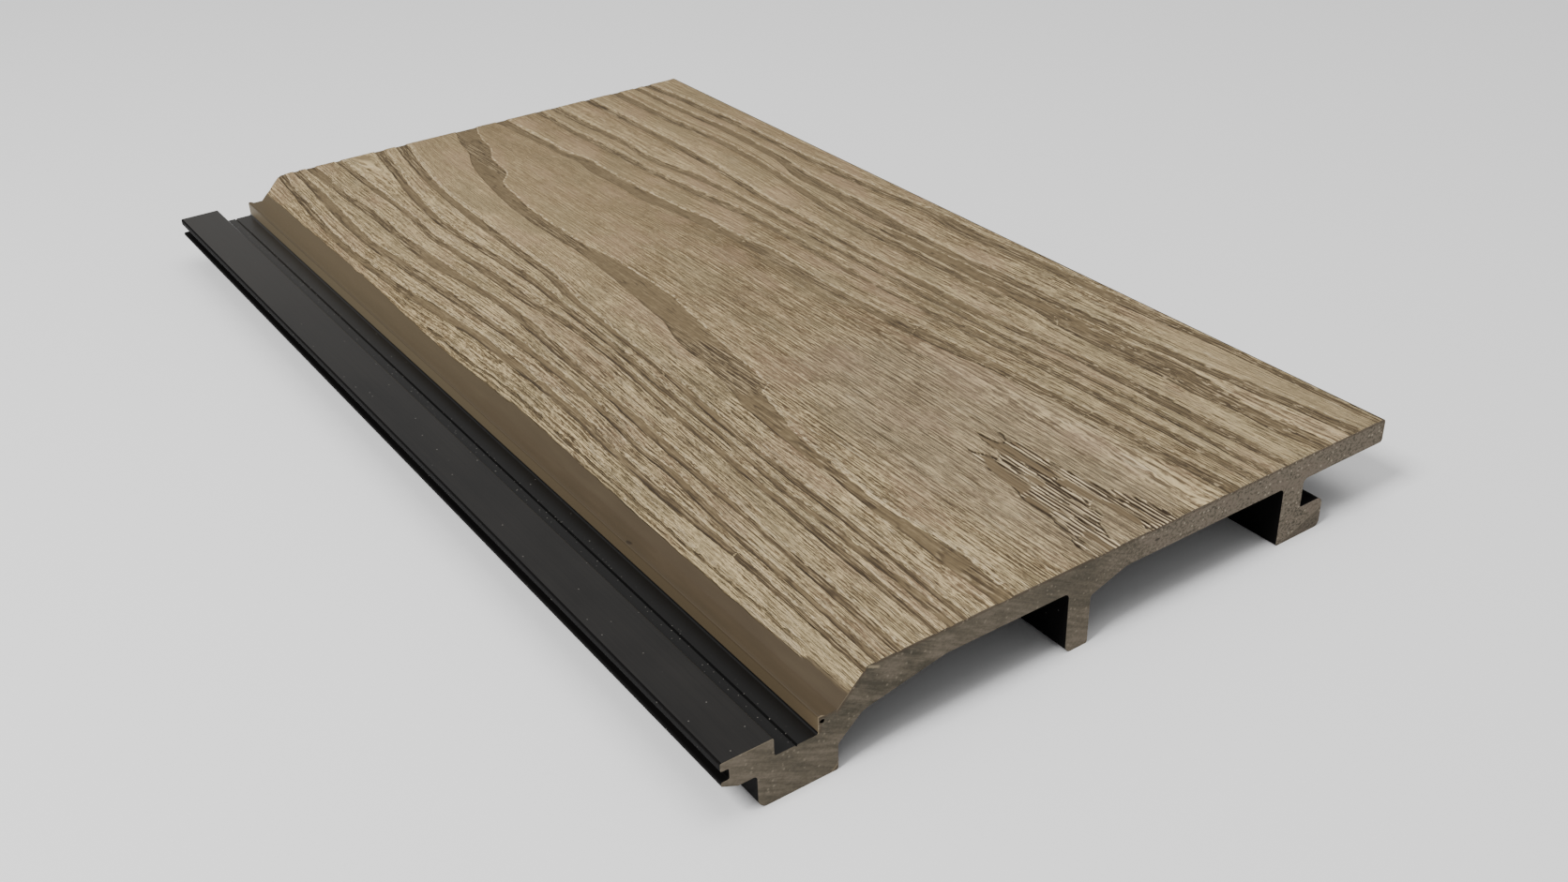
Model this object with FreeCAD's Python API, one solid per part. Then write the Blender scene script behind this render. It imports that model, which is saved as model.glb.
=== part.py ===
import FreeCAD, Part
import math
import os

# A wall cladding board: one extruded length of wood composite, lying on its back.
# X runs across the board, from the locking lip to the overhanging edge. Y runs along the
# length, and +Z is the weather face. The origin is below the board's middle, at the wall plane.

# Overall sizes, in millimetres
board_width = 176.0
board_thickness = 21.0
board_length = 300.0
plate_thickness = 6.1

# Fit between neighbouring boards
seat_clearance = 0.2
expansion_gap = 1.0

# Locking lip, which the next board's hook holds down
lip_thickness = 6.8
lip_overhang = 7.5
lip_bevel_width = 3.4
lip_bevel_height = 1.6
lip_bevel_radius = 1.5
lip_root_radius = 0.8
lip_edge_radius = 0.4

# Groove along the lip's tip
groove_height = 2.4
groove_depth = 1.8
groove_skin = 1.9
groove_radius = 0.4

# Fixing channel, with the scribed line that the screws follow
channel_start = 11.3
channel_width = 9.5
channel_depth = 4.1
channel_radius = 0.5
scribe_width = 0.6
scribe_depth = 0.4

# Nose and ledge at the foot of the bevel
nose_width = 0.7
nose_fall_width = 1.0
nose_radius = 0.25
ledge_drop = 0.5
ledge_width = 2.6
bevel_angle = 45.0
crown_radius = 0.9

# Overhanging edge, which covers the next board's lip and channel
overhang_top_radius = 1.2
overhang_bottom_radius = 0.8

# Hook
hook_rib_width = 6.4
hook_tip_radius = 1.9
hook_toe_radius = 1.4
hook_heel_radius = 0.6
hook_throat_radius = 0.5
rib_root_radius = 1.2

# Middle rib, with its haunch towards the hook
middle_rib_width = 6.0
middle_rib_radius = 1.8
middle_rib_heel_radius = 0.6
haunch_drop = 3.2
haunch_length = 9.6
haunch_radius = 3.0

# Foot, which stands on the wall under the fixing channel
foot_width = 17.7
foot_radius = 2.2
foot_heel_radius = 0.6
foot_wall_height = 6.0
foot_ramp_rise = 5.1
foot_ramp_angle = 42.0
foot_ramp_radius = 5.0
foot_haunch_length = 19.5

# Heights that the fit between two boards sets
plate_underside = board_thickness - plate_thickness
seat_height = plate_underside - seat_clearance
lip_underside = seat_height - lip_thickness
hook_top = lip_underside - seat_clearance
channel_floor = seat_height - channel_depth
ledge_height = seat_height - ledge_drop

# Places across the board, measured from the lip's tip
channel_end = channel_start + channel_width
nose_end = channel_end + nose_width
ledge_start = nose_end + nose_fall_width
bevel_foot = ledge_start + ledge_width
bevel_run = (board_thickness - ledge_height) / math.tan(math.radians(bevel_angle))
foot_end = lip_overhang + foot_width

# The next board's bevel foot stands one clearance beyond this board's edge.
cover_width = board_width + seat_clearance - bevel_foot
hook_tip = cover_width + lip_overhang - expansion_gap
hook_rib_end = cover_width - expansion_gap
hook_rib_start = hook_rib_end - hook_rib_width
middle_rib_centre = (foot_end + hook_rib_start) / 2
middle_rib_start = middle_rib_centre - middle_rib_width / 2
middle_rib_end = middle_rib_centre + middle_rib_width / 2


def lip_corners():
    """The lip, from the lead-in bevel underneath, round its grooved tip to the fixing channel."""
    groove_top = seat_height - groove_skin
    groove_bottom = groove_top - groove_height
    return [
        (lip_bevel_width, lip_underside, lip_bevel_radius),
        (0, lip_underside + lip_bevel_height, lip_edge_radius),
        (0, groove_bottom, groove_radius),
        (groove_depth, groove_bottom, groove_radius),
        (groove_depth, groove_top, groove_radius),
        (0, groove_top, groove_radius),
        (0, seat_height, lip_edge_radius),
        (channel_start, seat_height, lip_edge_radius),
    ]


def channel_corners():
    """The fixing channel's floor, with the scribed line along its middle."""
    scribe_middle = channel_start + channel_width / 2
    return [
        (channel_start, channel_floor, channel_radius),
        (scribe_middle - scribe_width / 2, channel_floor, 0),
        (scribe_middle, channel_floor - scribe_depth, 0),
        (scribe_middle + scribe_width / 2, channel_floor, 0),
        (channel_end, channel_floor, channel_radius),
    ]


def face_corners():
    """The nose, the ledge, the bevel up to the weather face, and the overhanging edge."""
    return [
        (channel_end, seat_height, nose_radius),
        (nose_end, seat_height, 0),
        (ledge_start, ledge_height, 0),
        (bevel_foot, ledge_height, 0),
        (bevel_foot + bevel_run, board_thickness, crown_radius),
        (board_width, board_thickness, overhang_top_radius),
        (board_width, plate_underside, overhang_bottom_radius),
    ]


def hook_corners():
    """The hook rib, whose toe reaches under the next board's lip."""
    return [
        (hook_rib_end, plate_underside, rib_root_radius),
        (hook_rib_end, hook_top, hook_throat_radius),
        (hook_tip, hook_top, hook_tip_radius),
        (hook_tip, 0, hook_toe_radius),
        (hook_rib_start, 0, hook_heel_radius),
        (hook_rib_start, plate_underside, rib_root_radius),
    ]


def middle_rib_corners():
    """The middle rib, haunched on the side of the hook."""
    return [
        (middle_rib_end + haunch_length, plate_underside, haunch_radius),
        (middle_rib_end, plate_underside - haunch_drop, rib_root_radius),
        (middle_rib_end, 0, middle_rib_heel_radius),
        (middle_rib_start, 0, middle_rib_radius),
        (middle_rib_start, plate_underside, rib_root_radius),
    ]


def foot_corners():
    """The foot, thickened up to the face plate by a steep ramp and a long shallow haunch."""
    ramp_end = foot_end + foot_ramp_rise / math.tan(math.radians(foot_ramp_angle))
    return [
        (ramp_end + foot_haunch_length, plate_underside, haunch_radius),
        (ramp_end, foot_wall_height + foot_ramp_rise, foot_ramp_radius),
        (foot_end, foot_wall_height, rib_root_radius),
        (foot_end, 0, foot_heel_radius),
        (lip_overhang, 0, foot_radius),
        (lip_overhang, lip_underside, lip_root_radius),
    ]


def rounded_outline(corners):
    """A closed wire through (x, z, radius) corners, each rounded by a tangent arc.

    A radius that its two walls leave no room for is made to fit the shorter wall.
    """
    points = [FreeCAD.Vector(x, 0, z) for x, z, radius in corners]
    edges = []
    first_point = None
    last_point = None
    for index, (x, z, radius) in enumerate(corners):
        corner = points[index]
        back = points[index - 1] - corner
        ahead = points[(index + 1) % len(points)] - corner
        half_angle = back.getAngle(ahead) / 2
        room = 0.49 * min(back.Length, ahead.Length)
        setback = min(radius / math.tan(half_angle), room)
        back.normalize()
        ahead.normalize()
        arc_start = corner + back * setback
        arc_end = corner + ahead * setback
        if last_point is None:
            first_point = arc_start
        else:
            edges.append(Part.LineSegment(last_point, arc_start).toShape())
        if setback > 0:
            inward = back + ahead
            inward.normalize()
            fitted_radius = setback * math.tan(half_angle)
            crest = corner + inward * (fitted_radius / math.sin(half_angle) - fitted_radius)
            edges.append(Part.Arc(arc_start, crest, arc_end).toShape())
        last_point = arc_end
    edges.append(Part.LineSegment(last_point, first_point).toShape())
    return Part.Wire(edges)


def cladding_panel():
    """The whole board: its section drawn at one end and extruded to the other."""
    corners = lip_corners() + channel_corners() + face_corners()
    corners += hook_corners() + middle_rib_corners() + foot_corners()
    section = Part.Face(rounded_outline(corners))
    board = section.extrude(FreeCAD.Vector(0, board_length, 0))
    board.translate(FreeCAD.Vector(-board_width / 2, -board_length / 2, 0))
    return board


os.makedirs("parts", exist_ok=True)
panel = cladding_panel()
panel.exportStep("parts/cladding_panel.step")
print("section area mm2:", round(panel.Volume / board_length, 1))
print("cover width mm:", round(cover_width, 2))
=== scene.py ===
# %% [markdown]
# A wall cladding board of wood composite, dressed for a photograph.
# The real board is squeezed through a steel die in one length. A thin brown cap goes on in the same die,
# a hot roller then presses a timber grain into it, and a wire brush takes the shine off what still
# stands proud. A saw cuts the length, so both ends show the bare core.
# This lesson follows the same order: the section, the grain lines, the pressing, the sawn ends,
# the three finishes, and last the studio.

# %% The packed board
import math

import bmesh
import bpy
import numpy as np
from mathutils import Matrix, Vector
from mathutils.geometry import delaunay_2d_cdt


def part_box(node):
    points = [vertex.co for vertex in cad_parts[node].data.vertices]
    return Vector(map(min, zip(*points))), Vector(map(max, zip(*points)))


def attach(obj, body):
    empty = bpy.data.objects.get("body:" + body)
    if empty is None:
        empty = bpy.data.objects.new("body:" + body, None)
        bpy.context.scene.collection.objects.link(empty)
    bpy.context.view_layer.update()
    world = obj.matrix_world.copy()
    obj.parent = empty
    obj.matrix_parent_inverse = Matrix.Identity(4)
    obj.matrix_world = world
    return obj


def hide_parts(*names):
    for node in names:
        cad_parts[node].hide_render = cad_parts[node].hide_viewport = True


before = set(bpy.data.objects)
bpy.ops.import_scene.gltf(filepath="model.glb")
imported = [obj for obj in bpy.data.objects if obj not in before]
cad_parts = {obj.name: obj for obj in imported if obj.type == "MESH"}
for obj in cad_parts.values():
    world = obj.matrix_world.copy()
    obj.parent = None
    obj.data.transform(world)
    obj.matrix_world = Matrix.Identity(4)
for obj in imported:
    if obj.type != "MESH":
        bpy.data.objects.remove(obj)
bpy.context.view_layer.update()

MM = 0.001
low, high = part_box("cladding_panel")
board_left = low.x
near_end = low.y
board_length = (high.y - low.y) / MM
print("board length mm:", round(board_length, 2), "left edge m:", round(board_left, 4))

# %% [markdown]
# The section. The packed board already has the right outline, so the lesson reads it from the board's
# near end rather than drawing it again. An edge of the end face that only one triangle uses lies on
# the outline, and those edges chain into one loop. Measures across the board are in millimetres from
# the tip of the lip, as a joiner would mark them, and heights are from the wall side.

# %% Reading the section from the near end
def end_outline(board):
    """The near end's outline as (across, height) in mm, clockwise as seen from the front."""
    places = [tuple(round(value, 6) for value in vertex.co) for vertex in board.data.vertices]
    used = set()
    for polygon in board.data.polygons:
        ring = [places[index] for index in polygon.vertices]
        if max(place[1] for place in ring) < near_end + 1e-5:
            used.update(zip(ring, ring[1:] + ring[:1]))
    ahead = {first: second for first, second in used if (second, first) not in used}
    here = max(ahead, key=lambda place: (place[2], place[0]))
    loop = []
    for step in range(len(ahead)):
        loop.append(here)
        here = ahead[here]
    return np.array([((x - board_left) / MM, z / MM) for x, y, z in reversed(loop)])


section = end_outline(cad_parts["cladding_panel"])
print("points on the section:", len(section))

# %% [markdown]
# The face path. The weather face starts on the bevel, turns over the crown and runs flat to the
# overhanging edge. One number, the girth, says how far along that path a point lies. On the flat it is
# the plain distance from the lip's tip. On the bevel it goes on counting down the slope. Working in
# girth lets the grain run over the crown without a break, as it does on the rolled board.

# %% From girth to a place on the section
board_width = 176.0
crown_corner = (31.9, 21.0)
crown_radius = 0.9
bevel_foot = (25.1, 14.2)
wall_foot = (20.8, 11.1)
face_end = (174.8, 21.0)
cap_end = (175.2, 14.9)
lip_shoulder = (0.4, 14.7)
cap_start_girth = 23.6
slope = math.sqrt(0.5)
bevel_lean, flat_lean = 135, 90
crown_reach = crown_radius * math.tan(math.radians((bevel_lean - flat_lean) / 2))


def face_place(girth):
    """Across, height and the outward direction of the bare face at each girth."""
    down = crown_corner[0] - girth
    turn = np.clip((crown_reach - down) / (2 * crown_reach), 0, 1)
    angle = np.radians(bevel_lean - (bevel_lean - flat_lean) * turn)
    on_bevel = down > crown_reach
    on_crown = (turn > 0) & (turn < 1)
    across = np.where(on_bevel, crown_corner[0] - down * slope, girth)
    height = np.where(on_bevel, crown_corner[1] - down * slope, crown_corner[1])
    centre = (crown_corner[0] + crown_reach, crown_corner[1] - crown_radius)
    across = np.where(on_crown, centre[0] + crown_radius * np.cos(angle), across)
    height = np.where(on_crown, centre[1] + crown_radius * np.sin(angle), height)
    return across, height, np.cos(angle), np.sin(angle)


print("crown reach mm:", round(crown_reach, 3))

# %% [markdown]
# Rows along the length. The camera stands by the near end, so the rows are closer there. A wander is a
# smooth seeded wobble along the length; it makes the torn edges of the grain, which a real roller
# copies from a brushed plank. A station is a place along the board where an edge was measured, and a
# smooth line goes through the stations.

# %% Rows, wanders and smooth lines
row_stretches = [(0, 56, 0.75), (56, 120, 1.05), (120, board_length, 1.35)]
along = np.concatenate([np.arange(start, end, pitch) for start, end, pitch in row_stretches])
along = np.append(along[along < board_length - 0.5], board_length)


def wander(step, seed):
    """A smooth seeded wobble between -1 and 1, with a new turn every step mm."""
    turns = np.random.default_rng(seed).uniform(-1, 1, int(board_length / step) + 4)
    place = along / step
    index = np.floor(place).astype(int)
    share = place - index
    share = share * share * (3 - 2 * share)
    return turns[index] * (1 - share) + turns[index + 1] * share


def through(stations):
    """A smooth line through (place along the board, value) stations."""
    place, value = np.array(stations, float).T
    lean = np.gradient(value, place)
    index = np.clip(np.searchsorted(place, along) - 1, 0, len(place) - 2)
    span = place[index + 1] - place[index]
    t = np.clip((along - place[index]) / span, 0, 1)
    rise = value[index + 1] - value[index]
    bend_in = lean[index] * span - rise
    bend_out = rise - lean[index + 1] * span
    return value[index] + rise * t + t * (1 - t) * (bend_in * (1 - t) + bend_out * t)


def ease(value, start, end):
    """0 before start, 1 after end, and a smooth step between."""
    t = np.clip((value - start) / (end - start), 0, 1)
    return t * t * (3 - 2 * t)


print("rows:", len(along))

# %% [markdown]
# The grain lines. Each is a shallow ribbon pressed into the face, like the late wood in a plank, and it
# keeps the smooth skin because the brush never reaches it. A ribbon could be painted by a noise
# texture, but the rings of one board are its own, so each line here has stations: the distance along
# the board, then the girth of its left and right edges. A faint line has less depth, and one that dies
# out has the stretch in which it shows.

# %% Stations of the grain lines
grain_lines = []


def grain_line(name, stations, before, inside=2, depth=1.0, shows=(-30, 330)):
    """Keeps one ribbon; before and inside are the mesh columns ahead of it and within it, and
    shows is the stretch along the board where it is pressed."""
    grain_lines.append({
        "name": name,
        "left": [(place, left) for place, left, right in stations],
        "right": [(place, right) for place, left, right in stations],
        "before": before,
        "inside": inside,
        "depth": depth,
        "shows": shows,
    })


grain_line("bevel_seam", [
    (0, 26.3, 26.7), (10, 26.4, 26.8), (20, 26.7, 27.2), (50, 26.7, 27.1), (100, 26.7, 27.3),
    (150, 26.7, 27.2), (160, 25.9, 26.4), (176, 25.9, 26.4), (188, 25.1, 25.6), (210, 25.0, 25.5),
    (300, 25.0, 25.5),
], before=8, inside=1, depth=0.6, shows=(8, 192))
grain_line("crown", [
    (0, 30.3, 31.3), (26, 31.0, 32.0), (40, 31.2, 32.7), (76, 30.9, 33.0), (92, 31.4, 33.2),
    (104, 32.0, 34.2), (140, 32.3, 34.4), (165, 31.4, 33.7), (180, 30.2, 32.2), (200, 28.4, 30.1),
    (215, 27.7, 29.2), (250, 27.3, 28.7), (270, 28.6, 30.3), (285, 29.8, 31.4), (300, 31.0, 33.5),
], before=7)
grain_line("left_first", [
    (0, 33.6, 34.6), (24, 34.7, 35.8), (54, 35.3, 36.8), (76, 36.8, 38.6), (90, 36.9, 38.2),
    (104, 38.0, 39.4), (134, 38.8, 40.6), (160, 38.0, 39.8), (180, 36.4, 38.7), (200, 35.0, 37.7),
    (220, 33.2, 36.1), (230, 32.7, 35.0), (250, 33.0, 35.8), (270, 34.3, 36.9), (300, 36.4, 38.2),
], before=3)
grain_line("left_second", [
    (0, 38.2, 39.8), (24, 39.1, 41.0), (48, 40.4, 41.6), (72, 41.0, 42.6), (98, 42.0, 44.4),
    (126, 43.5, 44.8), (138, 43.7, 46.0), (160, 44.5, 47.2), (175, 44.8, 46.9), (195, 43.0, 45.3),
    (205, 41.4, 44.8), (220, 40.8, 44.3), (230, 41.1, 43.6), (250, 41.4, 44.3), (272, 40.8, 42.7),
    (290, 40.6, 43.2), (300, 40.4, 43.2),
], before=6)
grain_line("left_third", [
    (0, 47.3, 48.6), (16, 47.8, 49.2), (28, 47.9, 50.0), (52, 49.1, 50.6), (76, 49.9, 51.5),
    (104, 51.4, 52.4), (128, 53.0, 54.6), (153, 53.0, 55.0), (170, 51.1, 53.7), (200, 50.0, 52.7),
    (210, 49.8, 51.4), (225, 48.7, 50.8), (240, 50.0, 51.4), (270, 49.8, 51.7), (300, 49.9, 51.9),
], before=9)
grain_line("left_fourth", [
    (0, 50.7, 52.0), (12, 51.3, 53.2), (34, 52.0, 53.5), (58, 52.6, 53.9), (82, 54.3, 55.4),
    (110, 55.0, 56.6), (138, 56.4, 58.0), (165, 57.0, 59.0), (180, 57.7, 59.8), (200, 56.6, 59.0),
    (220, 55.3, 57.2), (240, 55.0, 57.2), (260, 57.2, 59.5), (280, 60.3, 62.9), (300, 63.2, 66.6),
], before=5)
grain_line("left_fifth", [
    (0, 54.2, 55.6), (22, 55.2, 56.4), (44, 56.0, 57.6), (72, 56.6, 58.0), (94, 57.6, 59.4),
    (118, 59.4, 60.8), (146, 60.6, 61.8), (170, 61.6, 63.5), (180, 62.7, 65.0), (200, 63.2, 65.6),
    (230, 63.6, 66.1), (260, 65.0, 67.4), (280, 67.2, 70.3), (300, 70.2, 74.2),
], before=4)
grain_line("broad", [
    (0, 62.5, 66.5), (20, 62.9, 67.3), (28, 63.2, 66.8), (40, 63.3, 66.0), (60, 64.5, 67.3),
    (76, 64.9, 68.6), (82, 65.3, 70.2), (90, 66.0, 71.8), (94, 66.5, 73.0), (95.6, 67.0, 74.0),
    (96.6, 67.4, 76.0), (97.6, 67.6, 76.3), (100, 68.0, 76.5), (104, 68.7, 77.0), (110, 69.4, 77.8),
    (130, 71.5, 80.2), (140, 74.0, 81.4), (150, 74.8, 83.0), (170, 76.5, 82.9), (184, 77.2, 82.7),
    (190, 77.4, 81.5), (210, 76.8, 80.8), (230, 77.0, 81.2), (245, 78.6, 82.9),
    (251, 79.4, 84.2), (256, 80.2, 87.6), (262, 81.2, 89.0), (272, 83.6, 90.4), (278, 86.0, 93.2),
    (290, 88.5, 95.5), (300, 91.5, 98.6),
], before=9, inside=11)
grain_line("right_first", [
    (0, 125.7, 129.2), (20, 125.5, 128.1), (40, 124.2, 127.0), (60, 122.6, 125.7), (70, 122.0, 125.2),
    (80, 120.3, 124.4), (100, 118.4, 122.3), (120, 117.3, 120.0), (140, 116.5, 119.2), (160, 115.8, 120.0),
    (174, 115.5, 118.0), (185, 113.9, 118.0), (200, 112.3, 116.0), (210, 110.4, 115.0), (230, 109.8, 113.7),
    (240, 109.2, 113.3), (250, 110.0, 113.8), (262, 108.6, 110.8), (270, 108.2, 111.0),
    (285, 107.2, 110.2), (300, 105.8, 110.0),
], before=112, inside=4, depth=0.85)
grain_line("right_second", [
    (0, 132.7, 135.3), (40, 132.3, 134.7), (70, 131.3, 133.5), (90, 130.0, 132.3), (120, 128.6, 130.0),
    (160, 127.9, 130.0), (180, 127.6, 129.6), (190, 126.0, 129.2), (210, 124.3, 126.8), (230, 122.8, 125.0),
    (250, 122.0, 124.5), (270, 121.0, 123.2), (290, 120.8, 122.8), (300, 120.8, 123.0),
], before=7, depth=0.6)
grain_line("right_third", [
    (0, 137.2, 139.3), (40, 137.2, 139.0), (60, 136.4, 138.0), (90, 134.8, 136.7), (120, 133.8, 135.9),
    (150, 133.6, 135.2), (180, 133.0, 134.8), (200, 132.5, 134.7), (220, 130.6, 133.5), (240, 128.0, 130.5),
    (255, 128.8, 131.0), (280, 127.0, 130.0), (300, 126.0, 129.2),
], before=4, depth=0.6)
grain_line("right_fourth", [
    (0, 143.0, 144.8), (10, 142.2, 145.0), (50, 141.2, 144.3), (70, 140.6, 142.7), (90, 138.8, 140.6),
    (115, 138.0, 140.2), (130, 138.0, 139.3), (160, 138.0, 139.8), (190, 138.0, 139.8), (210, 139.3, 141.4),
    (230, 139.9, 142.3), (260, 140.1, 142.5), (300, 139.2, 141.7),
], before=6, depth=0.75)
grain_line("right_fifth", [
    (0, 149.6, 151.2), (50, 147.5, 148.8), (80, 147.9, 149.0), (100, 148.6, 150.9), (112, 148.3, 150.5),
    (130, 148.0, 150.3), (150, 147.5, 149.8), (160, 147.7, 150.2), (180, 148.8, 151.2), (190, 150.0, 152.3),
    (200, 151.2, 153.3), (230, 153.0, 155.4), (250, 152.2, 154.6), (260, 151.1, 153.8), (280, 150.6, 153.2),
    (300, 149.8, 153.2),
], before=6, depth=0.75, shows=(92, 330))
grain_line("right_broad", [
    (0, 154.0, 158.3), (10, 152.3, 157.5), (20, 152.5, 156.5), (30, 151.2, 157.5), (42, 151.0, 159.2),
    (50, 150.6, 159.0), (60, 150.0, 157.5), (76, 149.8, 156.7), (90, 151.4, 156.5), (100, 151.8, 155.9),
    (120, 151.5, 155.0), (140, 151.4, 154.6), (155, 151.4, 153.8), (180, 152.2, 153.8), (200, 154.2, 155.0),
    (230, 156.6, 158.0), (260, 155.2, 157.0), (300, 154.8, 157.0),
], before=2, inside=6, depth=0.8, shows=(-30, 158))
grain_line("right_sixth", [
    (0, 164.3, 167.7), (20, 162.5, 166.0), (40, 160.4, 163.8), (60, 159.2, 161.7), (80, 157.9, 160.2),
    (100, 156.9, 159.6), (130, 155.3, 158.0), (150, 155.1, 158.8), (160, 154.6, 159.6), (180, 155.9, 159.6),
    (200, 155.9, 160.2), (210, 158.5, 161.7), (230, 159.8, 162.5), (250, 160.0, 162.6), (270, 159.2, 161.0),
    (300, 158.6, 160.6),
], before=4, inside=3, depth=0.8)
grain_line("right_seventh", [
    (0, 172.6, 174.3), (20, 172.4, 174.3), (50, 172.0, 174.2), (76, 170.0, 173.6), (100, 170.0, 172.7),
    (120, 168.3, 172.2), (140, 167.0, 171.7), (150, 168.4, 172.0), (170, 167.7, 170.0), (190, 166.4, 169.3),
    (215, 166.2, 168.2), (250, 165.8, 168.2), (280, 164.5, 167.0), (300, 162.5, 165.4),
], before=8, inside=3, depth=0.8)
print("grain lines:", len(grain_lines))

# %% [markdown]
# Columns that follow the grain. A plain grid would cut across the ribbons and leave their edges
# stepped. Here each edge of each ribbon has its own pair of columns, one at the top of its little wall
# and one at the bottom, so the wall stays crisp with few faces. The columns between are spread evenly.
# Each column also carries marks for the finish: how much of it is ribbon, where the foot of the left
# wall gets a painted shadow, and where the ragged right edge gets a painted highlight rim.

# %% Laying the columns
wall_width = 0.16
least_gap = 0.03
least_ribbon = 0.45
fade_length = 12
rim_highlight_start, rim_highlight_crest = 0.32, 0.62
columns = []


def column(place, vein=0.0, shade=0.0, rim=0.0):
    """One mesh column: its girth in each row and its marks."""
    columns.append([place + 0 * along, vein + 0 * along, shade + 0 * along, rim + 0 * along])


def plain_columns(target, count):
    """Evenly spread columns from the last one up to the target."""
    start = columns[-1][0]
    for step in range(1, count + 1):
        column(start + (target - start) * step / (count + 1))


def patch_columns(target, count):
    """Columns of the wide plain field, drawn together near the torn patch at the near end."""
    start = columns[-1][0]
    patch_left, patch_right = 86.0, 112.5
    drawn_until, even_from = 58, 120
    left_count, right_count = count // 10, count // 14
    shares = np.arange(1, count + 1) / (count + 1)
    reach = np.interp(
        np.arange(1, count + 1), [0, left_count, count - right_count, count + 1], [0, 1, 2, 3]
    )
    blend = ease(along, drawn_until, even_from)
    for share, place in zip(shares, reach):
        even = start + (target - start) * share
        stops = np.stack([start, patch_left + 0 * start, patch_right + 0 * start, target])
        index = min(int(place), 2)
        drawn = stops[index] + (stops[index + 1] - stops[index]) * (place - index)
        column(drawn * (1 - blend) + even * blend)


column(cap_start_girth)
for number, line in enumerate(grain_lines):
    seed = 40 * number
    left = through(line["left"]) + 0.09 * wander(5, seed + 1) + 0.05 * wander(2, seed + 2)
    right = through(line["right"]) + 0.05 + 0.20 * wander(1.9, seed + 3) + 0.18 * wander(5, seed + 4)
    right = np.maximum(right, left + least_ribbon)
    shows_from, shows_to = line["shows"]
    strength = line["depth"] * ease(along, shows_from, shows_from + fade_length)
    strength = strength * (1 - ease(along, shows_to - fade_length, shows_to))
    line["centre"] = (left + right) / 2
    if line["name"] == "right_first":
        patch_columns(left - wall_width / 2, line["before"])
    else:
        plain_columns(left - wall_width / 2, line["before"])
    shoulder = np.minimum(0.42, (right - left) * 0.25)
    # Marks for the painted shadow at the left wall's foot and the painted highlight rim past the right edge
    column(left - wall_width / 2)
    column(left + wall_width / 2, strength, strength)
    first = left + wall_width / 2 + shoulder
    last = right - np.minimum(0.45, (right - left) * 0.3)
    column(first, strength, 0.45 * strength)
    for step in range(1, line["inside"] + 1):
        column(first + (last - first) * step / line["inside"], strength)
    column(right, 0.6 * strength)
    column(right + rim_highlight_start, 0, 0, 0.7 * strength)
    column(right + rim_highlight_crest, 0, 0, strength)
plain_columns(face_end[0] + 0 * along, 3)
column(face_end[0])

girth, vein, shade, rim = np.array(columns).transpose(1, 2, 0)
for index in range(1, girth.shape[1]):
    girth[:, index] = np.maximum(girth[:, index], girth[:, index - 1] + least_gap)
girth = np.minimum(girth, face_end[0] - least_gap * np.arange(girth.shape[1])[::-1])
row_count, column_count = girth.shape
print("columns:", column_count, "triangles in the face:", 2 * (column_count - 1) * (row_count - 1))

# %% [markdown]
# Splinters and the torn patch. A few slivers bridge the ribbons, and near one end the roller copied a
# place where the plank had torn. Its outline is drawn first: the distance from an outline is a better
# mark than a painted mask, because the finish can cut it sharply wherever it likes. Within it lie
# smooth floors, and each groove or ridge of torn fibre is one stroke with a width of its own.

# %% Splinters, and the torn patch's outline
splinters = [
    (31.0, 43.2, 33.0, 43.8), (32.3, 131.6, 34.4, 132.4), (56.5, 110, 60.5, 118), (50, 219, 53, 222),
    (41, 282, 43.2, 284), (115.6, 180, 118.0, 181), (115.6, 168, 118.2, 169), (118.6, 96, 122, 98),
    (124.4, 41.6, 127, 41), (128.8, 124, 130.2, 125.5), (138.4, 108.5, 140.4, 109),
    (166.4, 184, 169.4, 186), (150.6, 78, 153.2, 82), (84.6, 250.5, 88.2, 256.0),
]
splinter_width = 0.4
torn_outline = [
    (94.4, 45.8), (93.7, 41.5), (92.9, 37.6), (92.2, 33), (91.9, 27.5), (91.0, 25), (90.5, 22), (90.3, 14),
    (89.4, 13.4), (89.3, 8), (88.5, 7), (87.5, 5.4), (87.3, -2), (111.7, -2), (111.0, 1.8), (110.3, 7.6),
    (109.6, 11), (108.9, 10), (108.3, 15.2), (107.3, 15.6), (106.5, 16), (106.4, 22), (106.0, 26),
    (105.2, 31), (104.8, 36), (105.1, 41.2), (104.0, 42.4), (103.6, 43.9), (102.8, 43.5), (101.7, 44.1),
    (101.2, 46.2), (100.9, 50.6), (100.1, 48.6), (99.5, 46), (99.2, 42), (98.4, 40.2), (97.2, 39.4),
    (96.4, 40.6), (95.9, 42.8), (95.0, 44.6),
]
film_outline = [
    (94.9, -2), (94.9, 2.2), (95.6, 4.2), (96.4, 6.2), (96.9, 8), (97.6, 8.6), (98.8, 9), (99.6, 9.8),
    (99.7, 12.6), (100.0, 13.9), (101.2, 14.7), (101.9, 15.0), (102.2, 12.5), (102.2, 5), (102.9, 1.8),
    (102.9, -2),
]
flat_outlines = [
    [(95.4, 42.5), (96.2, 39.6), (95.4, 34), (95.1, 27), (94.0, 25.6), (92.1, 25.8), (92.1, 33), (93.2, 38)],
    [(100.6, 50), (101.3, 45), (102.6, 43.4), (102.6, 36), (102.4, 26.4), (101.0, 27), (100.9, 33),
     (100.4, 35.4), (99.6, 39), (99.5, 44)],
    [(101.0, 25), (103.0, 24.4), (103.2, 15.2), (104.3, 11), (104.3, 4), (103.1, 2.2), (102.3, 5.5),
     (102.3, 14), (101.2, 17), (100.9, 21)],
    [(92.1, 7.8), (93.2, 7.7), (93.2, -2), (91.9, -2)],
    [(97.3, 31), (98.2, 30), (98.4, 26), (97.8, 24.4), (97.2, 26)],
    [(91.1, 24), (92.4, 24), (92.3, 17), (91.4, 17)],
]


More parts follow.
